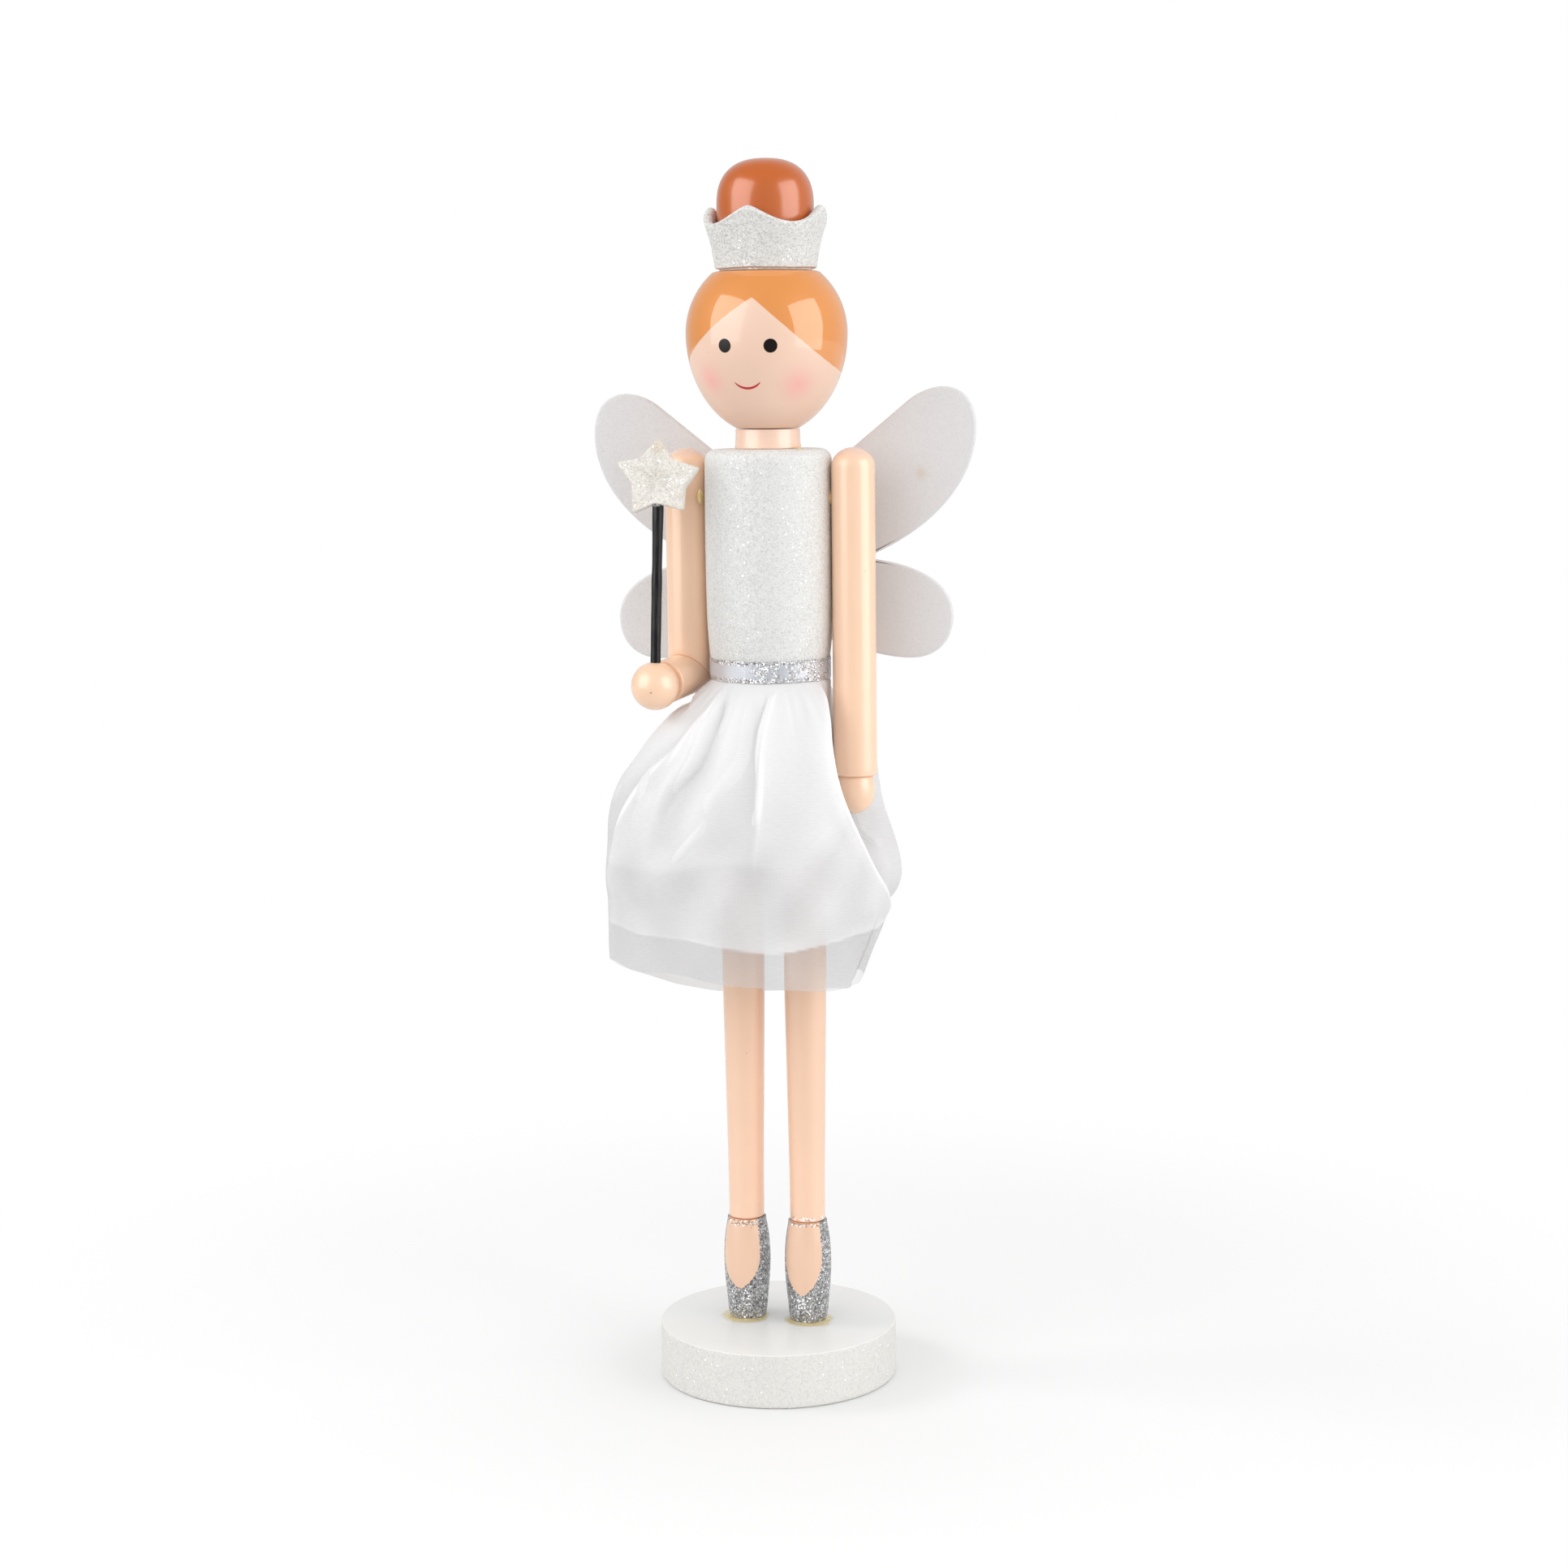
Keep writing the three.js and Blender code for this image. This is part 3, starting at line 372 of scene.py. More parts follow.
tree, take, to = group(
    "Throat",
    {"Place": "v", "Axis": "v"} | dict.fromkeys(("Turn", "Half turn", "Bottom", "Straight", "Ragged"), "f"),
    {"Mask": "f"},
)
x, y, z = split(tree, vector(tree, "SUBTRACT", take["Place"], take["Axis"]))
turn = calc(tree, "SUBTRACT", calc(tree, "ARCTAN2", x, calc(tree, "MULTIPLY", y, -1.0)), take["Turn"])
across = calc(tree, "DIVIDE", calc(tree, "ABSOLUTE", turn), take["Half turn"])
depth = calc(tree, "SUBTRACT", take["Straight"], take["Bottom"])
down = calc(tree, "MAXIMUM", calc(tree, "DIVIDE", calc(tree, "SUBTRACT", take["Straight"], z), depth), 0.0)
oval = calc(tree, "ADD", calc(tree, "POWER", across, 1.4), calc(tree, "POWER", down, 2.3))
rough = calc(tree, "MULTIPLY_ADD", calc(tree, "SUBTRACT", take["Ragged"], 0.5), 0.05, oval)
give(tree, to, Mask=ramp(tree, rough, 1.02, 0.96))

# %% [markdown]
# ## Thread
# The ribbon and the skirt are woven. The threads cross at right angles, thicker here and thinner there,
# which gives organza its fine grain. Two crossed waves along the cloth's own directions, bent by a
# little noise, give the height of the threads and how much of the cloth they close.

# %% Weave group
tree, take, to = group("Weave", {"Cloth": "v", "Pitch": "f"}, {"Closed": "f", "Slub": "f"})
uneven = noise(tree, vector(tree, "MULTIPLY", take["Cloth"], (0.35, 2.2, 1)), 1.0)
u, v, _ = split(tree, vector(tree, "MULTIPLY", take["Cloth"], calc(tree, "DIVIDE", np.pi, take["Pitch"])))
warp = calc(tree, "ABSOLUTE", calc(tree, "SINE", calc(tree, "MULTIPLY_ADD", uneven, 2.0, u)))
weft = calc(tree, "ABSOLUTE", calc(tree, "SINE", v))
give(tree, to, Closed=calc(tree, "MAXIMUM", warp, weft), Slub=uneven)

# %% [markdown]
# ## Finishes of the wooden pieces
# Flesh paint covers the limbs, neck and face, and its tone goes by height, in steps that fall between the
# pieces. The feet are painted darker than the legs as painted shade, and the arms lighter than the legs as
# painted light from above. The head is paler and pinker. A thin brown line is turned in at each ankle, with
# worn flecks of foil beside it. The head carries the hair cap and the face. The bun is a darker paint.
# Everything else on the wood is white, cream or silver glitter. The gloss is a clear coat over the paint,
# hard on the hair and softer on the flesh and the bun.

# %% Flesh paint
GLOSS = {"Coat_Weight": 1.0, "Coat_Roughness": 0.05, "Coat_IOR": 1.6, "Specular_IOR_Level": 0.3}
ANKLE = 47.0
# Flesh tones by height: the feet's darker tone is painted shade, and the arms' lighter tone is painted
# light.
FEET_PAINTED_SHADE = (226, 190, 164)
TONES_WITH_PAINTED_LIGHT = [(46.9, 47.1, (236, 195, 165)), (150, 160, (250, 208, 175)), (271, 272, (240, 205, 183))]


def foil(tree, place, below, above, seed):
    """Mask and colour of worn foil in a band beside the ankle line: bright flecks on rubbed paint."""
    _, y, z = split(tree, place)
    level = calc(tree, "SUBTRACT", z, ANKLE)
    starts = ramp(tree, level, below - 0.15, below + 0.15)
    stops = ramp(tree, level, above + 0.15, above - 0.15)
    band = calc(tree, "MULTIPLY", calc(tree, "MULTIPLY", starts, stops), calc(tree, "LESS_THAN", y, -1.0))
    moved = vector(tree, "ADD", place, (seed, 0, 0))
    mask = calc(tree, "MULTIPLY", band, ramp(tree, noise(tree, moved, 0.55, 3.0), 0.4, 0.5))
    fleck = ramp(tree, noise(tree, moved, 1.5, 2.0), 0.4, 0.56)
    return mask, mix(tree, fleck, linear(208, 162, 132), linear(250, 244, 238))


def flesh(tree, place):
    """Flesh paint in the feet's tone, darker as painted shade, that turns to the legs', the arms' lighter
    one of painted light, and the head's going up.
    """
    level, shade = split(tree, place)[2], linear(*FEET_PAINTED_SHADE)
    for low, high, colour in TONES_WITH_PAINTED_LIGHT:
        shade = mix(tree, ramp(tree, level, low, high), shade, linear(*colour))
    return use(tree, "Paint", Place=place, Colour=shade, Drift=0.06)


SATIN = {"Coat_Roughness": 0.2, "Coat_IOR": 1.5, "Specular_IOR_Level": 0.8}
skin, tree, shader, place = finish("Flesh paint", Roughness=0.5, **GLOSS | SATIN)
paint = flesh(tree, place)
level = split(tree, place)[2]
ankle = ramp(tree, calc(tree, "ABSOLUTE", calc(tree, "SUBTRACT", level, ANKLE + 0.15)), 0.3, 0.12)
turned = mix(tree, ankle, paint["Colour"], linear(232, 188, 160))
nick = use(tree, "Dot", Place=place, Centre=(-28.98, -24.18, 205.34), Radius=0.28, Soft=0.12)["Mask"]
turned = mix(tree, calc(tree, "MULTIPLY", nick, 0.7), turned, linear(150, 96, 70))
foiled, flecks = foil(tree, place, 0.4, 1.6, 7.0)
foiled = calc(tree, "MULTIPLY", foiled, calc(tree, "GREATER_THAN", split(tree, place)[0], 0.0))
give(
    tree,
    shader,
    **{
        "Base Color": mix(tree, foiled, turned, flecks),
        "Metallic": calc(tree, "MULTIPLY", foiled, 0.4),
        "Normal": bump(tree, paint["Height"], 0.03),
    },
)

# %% [markdown]
# ## Hair and face
# The hair is a cap of orange gloss with two straight edges that meet in a parting, and the face is two
# dots, a bow and blushed cheeks. They could be separate shells, but paint has no thickness to see except
# at the thick dots. So the head has one finish: hair is what lies above either of two planes, and at
# the back what lies above the nape, and the dots are raised a little.

# %% Hair and face
HAIRLINES = [((-0.5593, 0.1584, 0.8137), 252.87), ((0.6428, 0.1219, 0.7563), 236.90)]
EYES = [(-6.55, -21.92, 302.47), (6.6, -21.89, 302.3)]
CHEEKS = [(12.89, -15.25, 291.5), (-12.0, -16.8, 293.1)]

face, tree, shader, place = finish("Hair and face paint", **GLOSS)
wavy = calc(tree, "MULTIPLY", calc(tree, "SUBTRACT", noise(tree, place, 0.5), 0.5), 0.35)
jittered = vector(tree, "ADD", place, node(tree, "CombineXYZ", {2: wavy}).outputs[0])
sides = [use(tree, "Side", Place=jittered, Normal=n, Offset=d)["Mask"] for n, d in HAIRLINES]
nape = use(tree, "Side", Place=jittered, Normal=(0, 0, 1), Offset=295.3)["Mask"]
behind = use(tree, "Side", Place=place, Normal=(0, 1, 0), Offset=-2.0)["Mask"]
hair = calc(tree, "MAXIMUM", calc(tree, "MAXIMUM", *sides), calc(tree, "MULTIPLY", nape, behind))
colour = flesh(tree, place)["Colour"]
for spot in CHEEKS:
    blush = use(tree, "Dot", Place=place, Centre=spot, Radius=2.4, Soft=5.6)["Mask"]
    colour = mix(tree, calc(tree, "MULTIPLY", blush, 0.85), colour, linear(249, 170, 166))
locks = use(tree, "Paint", Place=place, Colour=linear(229, 148, 76), Drift=0.06)
colour = mix(tree, hair, colour, locks["Colour"])
eyes = [use(tree, "Dot", Place=place, Centre=spot, Radius=1.95, Soft=0.1)["Mask"] for spot in EYES]
mouth = {"Centre": (-0.62, -10, 295.52), "Radius": 4.88, "Half_turn": 0.87, "Half_line": 0.33}
smile = use(tree, "Bow", Place=place, **mouth)["Mask"]
colour = mix(tree, smile, colour, linear(190, 28, 34))
dots = calc(tree, "MAXIMUM", *eyes)
colour = mix(tree, dots, colour, linear(22, 14, 12))
height = calc(tree, "MULTIPLY_ADD", locks["Height"], 0.12, calc(tree, "MULTIPLY", dots, 0.6))
glossy = calc(tree, "MULTIPLY_ADD", hair, 0.6, 0.4)
glossy = calc(tree, "MULTIPLY", glossy, calc(tree, "SUBTRACT", 1.0, dots))
dull = calc(tree, "MULTIPLY_ADD", dots, -0.1, 0.42)
give(
    tree,
    shader,
    **{"Base Color": colour, "Coat Weight": glossy, "Roughness": dull, "Normal": bump(tree, height, 0.25)},
)

# %% [markdown]
# ## Bun, wand and bare wood
# The bun is a deep brown gloss, the wand a satin black with streaks along the stick, and the dowels and
# pins inside are bare wood. The streaks and the wood's grain are noise drawn out along the piece. The
# hidden pieces keep the shapes that the CAD model gives them and only get this finish.

# %% Bun, wand and bare wood
bun_paint, tree, shader, place = finish("Bun paint", Roughness=0.35, **GLOSS | {"Coat_Roughness": 0.2})
paint = use(tree, "Paint", Place=place, Colour=linear(198, 99, 36), Drift=0.06)
give(
    tree,
    shader,
    **{
        "Base Color": paint["Colour"],
        "Normal": bump(tree, paint["Height"], 0.05),
    },
)

black, tree, shader, place = finish("Black paint", Roughness=0.35, Specular_IOR_Level=0.35)
streak = noise(tree, vector(tree, "MULTIPLY", place, (1.4, 1.4, 0.16)), 1.0, 3.0)
give(
    tree,
    shader,
    **{
        "Base Color": mix(tree, ramp(tree, streak, 0.4, 0.75), linear(18, 16, 17), linear(44, 42, 43)),
        "Normal": bump(tree, streak, 0.2),
    },
)

wood, tree, shader, place = finish("Bare dowel", Roughness=0.65)
grain = noise(tree, vector(tree, "MULTIPLY", place, (1.1, 1.1, 0.08)), 1.0, 4.0)
give(tree, shader, **{"Base Color": mix(tree, grain, linear(232, 204, 158), linear(196, 156, 104))})
for name in ("leg_dowel_left", "leg_dowel_right", "shoulder_pin_left", "shoulder_pin_right"):
    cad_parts[name].data.materials.clear()
    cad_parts[name].data.materials.append(wood)

# %% [markdown]
# ## Glitter on the wood
# One coat of glitter differs from the next in the size of its flakes, its colour, how dark the dark ones are
# and how many flash. Torso and crown are plain. The wings carry painted shade, warmer and a little darker
# towards the middle near the body, and have a stain. The star is rubbed to a beige in patches, and the base
# is dusted on its side only, with satin paint on top.

# %% White and silver glitter
def glittered(name, flake, colour, depth, spark, tilt, **constants):
    """A plain glitter finish all over a piece, with the parts that a special one builds on."""
    made, tree, shader, place = finish(name, **constants)
    out = use(tree, "Glitter", Place=place, Flake=flake, Colour=colour, Depth=depth, Spark=spark, Tilt=tilt)
    values = {"Base Color": "Colour", "Roughness": "Roughness", "Metallic": "Metallic", "Normal": "Normal"}
    give(tree, shader, **{key: out[value] for key, value in values.items()})
    return made, tree, shader, place, out


torso_glitter, *_ = glittered("White glitter", 0.34, linear(228, 228, 226), 0.24, 0.012, 0.35)
crown_glitter, *_ = glittered("Coronet glitter", 0.34, linear(230, 230, 227), 0.36, 0.02, 0.4)

wing_glitter, *made = glittered("Wing glitter", 0.27, linear(222, 221, 222), 0.1, 0.0, 0.12)
tree, shader, place, out = made
# Painted shade: the wings turn warmer and a little darker towards the middle, near the body.
body_shade_share = ramp(tree, calc(tree, "ABSOLUTE", split(tree, place)[0]), 44.0, 22.0)
stain = use(tree, "Dot", Place=place, Centre=(41.3, 16.5, 265.7), Radius=0.9, Soft=2.2)["Mask"]
body_shaded = mix(tree, calc(tree, "MULTIPLY", body_shade_share, 0.22), out["Colour"], linear(224, 212, 205))
stained = mix(tree, calc(tree, "MULTIPLY", stain, 0.5), body_shaded, linear(206, 178, 146))
give(tree, shader, **{"Base Color": stained})

star_glitter, *made = glittered("Star glitter", 0.36, linear(236, 232, 224), 0.22, 0.02, 0.45)
tree, shader, place, out = made
bare = ramp(tree, noise(tree, place, 0.13, 3.0), 0.46, 0.72)
bare = calc(tree, "MULTIPLY", bare, calc(tree, "LESS_THAN", split(tree, place)[1], -17.8))
beige = vector(tree, "MULTIPLY", out["Colour"], (0.86, 0.72, 0.6))
give(tree, shader, **{"Base Color": mix(tree, calc(tree, "MULTIPLY", bare, 0.55), out["Colour"], beige)})

BASE_TOP = 16.0
base_paint, *made = glittered("Base paint and glitter", 0.4, linear(215, 214, 210), 0.16, 0.006, 0.25)
tree, shader, place, out = made
top = ramp(tree, split(tree, place)[2], BASE_TOP - 0.3, BASE_TOP - 0.05)
plain = use(tree, "Paint", Place=place, Colour=linear(228, 228, 226), Drift=0.03)
smooth = bump(tree, plain["Height"], 0.03)
give(
    tree,
    shader,
    **{
        "Base Color": mix(tree, top, out["Colour"], plain["Colour"]),
        "Roughness": calc(tree, "MULTIPLY_ADD", top, -0.28, out["Roughness"]),
        "Metallic": calc(tree, "MULTIPLY", out["Metallic"], calc(tree, "SUBTRACT", 1.0, top)),
        "Normal": mix(tree, top, out["Normal"], smooth),
    },
)

# %% [markdown]
# ## Slippers
# The feet are dipped in silver glitter as if in slippers, and the flesh paint shows in a long rounded
# throat at the front. Two meshes could meet at that edge, but it is only paint on one turned barrel. So
# each foot has one finish, and a mask about the foot's own axis says which of the two paints is on top.

# %% Slippers, with each leg's axis and its throat's turn, half width in degrees and lowest height
FEET = {"left": (9.3, -4.0, 55.0, 8.6), "right": (-9.3, -6.0, 55.0, 9.8)}
TOE = 16.3
slippers = {}
for side, (x_axis, turn, half, bottom) in FEET.items():
    slippers[side], *made = glittered(f"Slipper {side}", 0.42, linear(190, 190, 192), 0.75, 0.12, 1.6)
    tree, shader, place, out = made
    throat = use(
        tree,
        "Throat",
        Place=place,
        Axis=(x_axis, 0, TOE),
        Turn=np.radians(turn),
        Half_turn=np.radians(half),
        Bottom=bottom,
        Straight=21.5,
        Ragged=out["Grain"],
    )["Mask"]
    paint = flesh(tree, place)
    foiled, flecks = foil(tree, place, -1.9 if side == "right" else -1.2, -0.25, 3.0)
    bare = calc(tree, "MULTIPLY", throat, calc(tree, "SUBTRACT", 1.0, foiled))
    skinned = mix(tree, foiled, paint["Colour"], flecks)
    rim = ramp(tree, split(tree, place)[2], ANKLE - 0.55, ANKLE - 0.3)
    skinned = mix(tree, rim, skinned, linear(224, 176, 146))
    flaked = calc(tree, "MAXIMUM", out["Metallic"], 0.75)
    give(
        tree,
        shader,
        **{
            "Base Color": mix(tree, throat, out["Colour"], skinned),
            "Roughness": calc(tree, "MULTIPLY_ADD", bare, -0.05, 0.35),
            "Metallic": calc(tree, "MULTIPLY", flaked, calc(tree, "SUBTRACT", 1.0, bare)),
            "Normal": mix(tree, bare, out["Normal"], node(tree, "NewGeometry").outputs["Normal"]),
        },
    )

# %% [markdown]
# ## Base, feet and legs
# The base is a disc with a crisp, just eased edge. Each foot is a barrel on point, standing on its toe,
# and each leg a long spindle that swells towards the hip. All are turned, so each is a profile swept
# about its own axis.

# %% Base, feet and legs
BASE_RADIUS = 35.0
disc = np.concatenate(
    [
        [[6, 0], [20, 0]],
        arc(BASE_RADIUS - 1.0, 1.0, 1.0, -90, 0),
        np.stack([np.full(8, BASE_RADIUS), np.linspace(2, BASE_TOP - 1.6, 8)], -1),
        arc(BASE_RADIUS - 0.55, BASE_TOP - 0.55, 0.55, 0, 90),
        [[28, BASE_TOP], [18, BASE_TOP], [8, BASE_TOP]],
    ]
)
lay("Base", lathe(disc, sides=192), base_paint, ["base_disc"])

BARREL = [(0, 5.35), (0.9, 5.55), (6, 6.1), (13, 6.75), (18, 6.9), (24, 6.6), (29.6, 5.75), (31, 5.5)]
SPINDLE = [(0, 5.2), (12, 5.25), (40, 5.65), (80, 6.25), (110, 6.3), (147, 6.3)]
foot_rise = np.linspace(0.9, 29.6, 40)
foot_line = through(foot_rise, BARREL)
leg_rise = np.linspace(0.5, 146.2, 60)
leg_line = through(leg_rise, SPINDLE)
for side, (x_axis, *_) in FEET.items():
    ragged = 0.012 * wobble(turns(128), 5 if side == "left" else 8, 4, 24)
    foot = np.concatenate(
        [
            [[2.5, 0.0]],
            arc(4.9, 0.6, 0.6, -90, -20, 5),
            np.stack([foot_line, foot_rise], -1),
            arc(5.3, 30.1, 0.45, 15, 90, 5),
            [[2.5, 30.55]],
        ]
    )
    fade = np.interp(foot[:, 1], [0.0, 2.5], [1.0, 0.25])[:, None]
    shape = lathe(foot + [0, TOE], axis=(x_axis, 0), wave=ragged * fade)
    lay(f"Foot_{side}", shape, slippers[side], [f"foot_{side}"])
    leg = np.concatenate(
        [
            [[2.5, 0.0]],
            arc(4.75, 0.45, 0.45, -90, 0, 5),
            np.stack([leg_line, leg_rise], -1),
            [[3.0, 146.4]],
        ]
    )
    shape = lathe(leg + [0, ANKLE - 0.05], axis=(x_axis, 0))
    lay(f"Leg_{side}", shape, skin, [f"leg_{side}"])

# %% [markdown]
# ## Torso, neck and head
# The torso is a turned drum, drawn in a little at the waist, with a flat planed on its back for the
# wings. The neck is a short collar. The head is an egg with its longer half down, cut level where the
# neck and the crown meet it. All are turned, so each is a profile swept about the middle line.

# %% Torso, neck, head
DRUM = [(213, 17.15), (217, 17.6), (222, 17.98), (230, 18.2), (243, 18.32), (258, 18.3), (270, 18.2)]
BACK_FLAT = 16.5
rise = np.linspace(214.2, 269.8, 60)
drum = through(rise, DRUM)
body = np.concatenate(
    [
        [[5, 194.0], [13.6, 194.0], [14.4, 194.8], [14.4, 212.9], [16.8, 213.3]],
        np.stack([drum, rise], -1),
        arc(15.0, 270.2, (3.2, 3.2), 5, 90, 10),
        [[10, 273.45], [5, 273.45]],
    ]
)
points, faces = lathe(body, sides=192)
planed = points[:, 2] > 215.4
points[planed, 1] = np.minimum(points[planed, 1], BACK_FLAT)
lay("Torso", (points, faces), torso_glitter, ["torso"])

collar = np.concatenate(
    [
        [[4, 273.5], [9.3, 273.5]],
        arc(9.3, 273.8, 0.2, -60, 0, 4),
        [[9.32, 275], [9.22, 277.5], [9.2, 279.0], [4, 279.1]],
    ]
)
lay("Neck", lathe(collar), skin, ["neck"])

HEAD_RADIUS, HEAD_MIDDLE, CHIN, SKULL = 23.05, 306.0, 29.0, 22.8
angle = np.radians(np.concatenate([np.linspace(-66.4, 0, 60), np.linspace(1, 48.4, 44)]))
tall = np.where(angle < 0, CHIN, SKULL)
egg = np.stack([HEAD_RADIUS * np.cos(angle), HEAD_MIDDLE + tall * np.sin(angle)], -1)
egg = np.concatenate([[[4, 279.25], [8.9, 279.25]], egg, [[14.6, 323.3], [6, 323.3]]])
lay("Head", lathe(egg, sides=192), face, ["head"])

# %% [markdown]
# ## Crown and bun
# The crown is a flared cup whose rim was scalloped into four rounded points, so its profile is stretched
# in height by the rim at each turn, and its thick coat of glitter makes the skin uneven. The bun is a
# ball a little squarer than round: a superellipse, cos and sin raised to a power below one.

# %% Crown and bun
CROWN_FOOT, DIP, POINT, FLOOR_SHARE = 323.5, 12.9, 5.1, 0.27
turn = turns(192)
lobe = turn + np.radians(3.4)
rim = DIP + (POINT + 0.35 * np.cos(2 * lobe)) * (1 - np.abs(np.sin(2 * lobe)) ** 1.2)
rim = rim + 0.12 * wobble(turn, 3, 2, 9)
blur = np.hanning(9) / np.hanning(9).sum()
rim = np.convolve(np.concatenate([rim[-6:], rim, rim[:6]]), blur, "same")[6:-6]
rise = np.linspace(0.05, 0.93, 30)
outer = np.stack([through(rise, [(0, 14.3), (0.5, 15.6), (0.93, 17.4)]), rise], -1)
lip = arc(16.15, 0.93, (1.35, 0.07), 10, 170, 9)
inner = np.stack([np.linspace(14.7, 12.2, 14), np.linspace(0.93, 0.3, 14)], -1)
foot = [[6, 0.0], [13.2, 0.0], [13.2, 0.03], [14.0, 0.036]]
cup = np.concatenate([foot, outer, lip, inner, [[8, FLOOR_SHARE], [4, FLOOR_SHARE]]])
radius, share = cup.T[..., None]
grains = 0.05 * np.random.default_rng(11).normal(size=(len(cup), len(turn)))
radius = radius + np.where((share > 0.05) & (radius > 13), grains, 0)
rows = np.stack([radius * np.cos(turn), radius * np.sin(turn), CROWN_FOOT + share * rim], -1)
shape = closed(rows, [[0, 0, CROWN_FOOT], [0, 0, CROWN_FOOT + FLOOR_SHARE * DIP]])
lay("Coronet", shape, crown_glitter, ["crown"])

BUN_RADIUS, BUN_MIDDLE, BUN_HALF, SQUARENESS = 13.8, 341.3, 13.5, 2.5
angle = np.radians(np.linspace(-86, 86, 80))
wide = np.cos(angle) ** (2 / SQUARENESS)
tall = np.sign(angle) * np.abs(np.sin(angle)) ** (2 / SQUARENESS)
ball = np.stack([BUN_RADIUS * wide, BUN_MIDDLE + BUN_HALF * tall], -1)
shape = lathe(ball, ends=(BUN_MIDDLE - BUN_HALF, BUN_MIDDLE + BUN_HALF), sides=160)
lay("Bun", shape, bun_paint, ["hair_bun"])

# %% [markdown]
# ## Left arm and hand
# The arms are dowels with domed tops. The left one hangs straight and ends in an egg-shaped hand. Both
# are turned, so each is a profile swept about the arm's axis.

# %% Left arm and hand
ARM_RADIUS, ARM_OUT, WRIST, SHOULDER, ARM_TOP = 6.25, 24.85, 180.0, 268.1, 273.7
DOME = (ARM_RADIUS, ARM_TOP - SHOULDER)
arm = np.concatenate(
    [
        [[3, WRIST]],
        arc(ARM_RADIUS - 0.35, WRIST + 0.35, 0.35, -90, 0, 5),
        [[ARM_RADIUS, z] for z in np.linspace(182, 267, 30)],
        arc(0, SHOULDER, DOME, 0, 86, 24),
    ]
)
shape = lathe(arm, ends=(WRIST, ARM_TOP), axis=(ARM_OUT, 0))
lay("Arm_left", shape, skin, ["arm_left"])

depth = np.linspace(11.2, 0.35, 36)
palm = through(depth, [(0, 4.9), (1.5, 5.3), (4, 5.55), (7, 5.2), (9.6, 3.7), (10.9, 1.9), (11.3, 0.9)])
palm = np.concatenate([np.stack([palm, WRIST - 0.1 - depth], -1), [[4.7, WRIST - 0.15], [2, WRIST - 0.1]]])
shape = lathe(palm, ends=(168.45, WRIST - 0.1), axis=(ARM_OUT, 0))
lay("Hand_left", shape, skin, ["hand_left"])

# %% [markdown]
# ## Right arm and hand
# The right arm is sawn through at the elbow and glued back at an angle, so both cut ends are mitred. A
# bent tube would round the elbow off. Here every line along the dowel runs on to the mitre plane, and
# the edge is eased a little where the two meet. The hand is a ball on the end of the forearm.

# %% Right arm, mitred elbow and ball hand
ELBOW = np.array([-ARM_OUT, 2.0, 208.7])
FORE = np.array([-0.2406, -0.9650, -0.1045])
FORE /= np.linalg.norm(FORE)
MITRE = FORE - [0, 0, 1]
MITRE /= np.linalg.norm(MITRE)
side_axis = np.cross(FORE, [0, 0, 1])
side_axis /= np.linalg.norm(side_axis)
FORE_FRAME = np.stack([side_axis, np.cross(FORE, side_axis), FORE])

turn = turns(128)
ring = ARM_RADIUS * np.stack([np.cos(turn), np.sin(turn), 0 * turn], -1)
cut = -(ring @ MITRE) / MITRE[2]
run = np.linspace(0, 1, 40)[:, None]
height = (cut - 0.25) * (1 - run) + (SHOULDER - ELBOW[2]) * run
straight = np.stack(np.broadcast_arrays(ring[:, 0], ring[:, 1], height), -1)
straight[:, :, 2] += np.where(run == 0, 0.5, 0.25)
eased = ring * [0.95, 0.95, 1] + np.stack([0 * cut, 0 * cut, cut * 0.95 + 0.02], -1)
cap = arc(0, SHOULDER - ELBOW[2], DOME, 4, 86, 24)
domed = np.stack(np.broadcast_arrays(cap[:, :1] * np.cos(turn), cap[:, :1] * np.sin(turn), cap[:, 1:]), -1)
rows = np.concatenate([eased[None], straight, domed])
points, faces = closed(rows, [[0, 0, 0.02], [0, 0, ARM_TOP - ELBOW[2]]])
lay("Upper_arm_right", (points + ELBOW, faces), skin, ["upper_arm_right"])

ring = ARM_RADIUS * (np.cos(turn)[:, None] * FORE_FRAME[0] + np.sin(turn)[:, None] * FORE_FRAME[1])
cut = -(ring @ MITRE) / (FORE @ MITRE)
run = np.linspace(0, 1, 24)[:, None]
length = (cut + 0.3) * (1 - run) + 14.7 * run
rows = ring + length[..., None] * FORE
eased = ring * 0.95 + (cut * 0.95 + 0.04)[:, None] * FORE
ends = np.stack([ring * 0.97 + 14.95 * FORE, ring * 0.8 + 15.0 * FORE])
rows = np.concatenate([eased[None], rows, ends])
points, faces = closed(rows, [0.04 * FORE, 15.0 * FORE])
lay("Forearm_right", (points + ELBOW, faces), skin, ["forearm_right"])

HAND, BALL = np.array([-29.69, -17.43, 206.60]), 6.9
ball = np.concatenate([[[2.0, -4.83]], arc(0, 0, BALL, -44.4, 86, 60)])
points, faces = lathe(ball, ends=(-4.83, BALL))
lay("Hand_right", (points @ FORE_FRAME + HAND, faces), skin, ["hand_right"])

# %% [markdown]
# ## Wand
# The wand is a painted stick, not quite even, that leans a little, with a thick sawn star butted on its
# end. The star was sawn by hand, so its ten corners are given one by one. Its edges are rounded, and its
# coat of glitter makes the flat sides uneven.

# %% Wand stick and star
lean = np.radians(2)
WAND = np.array([[np.cos(lean), 0, -np.sin(lean)], [0, 1, 0], [np.sin(lean), 0, np.cos(lean)]])
rise = np.linspace(2.0, 51.6, 70)
stick = 1.5 + 0.05 * wobble(rise / 52 * np.pi, 4, 2, 14)
stick = np.concatenate([[[0.8, 1.9]], np.stack([stick, rise], -1), [[1.2, 51.85], [0.6, 51.9]]])
points, faces = lathe(stick, sides=48)
lay("Wand_stick", (points @ WAND + HAND, faces), black, ["wand_stick"])

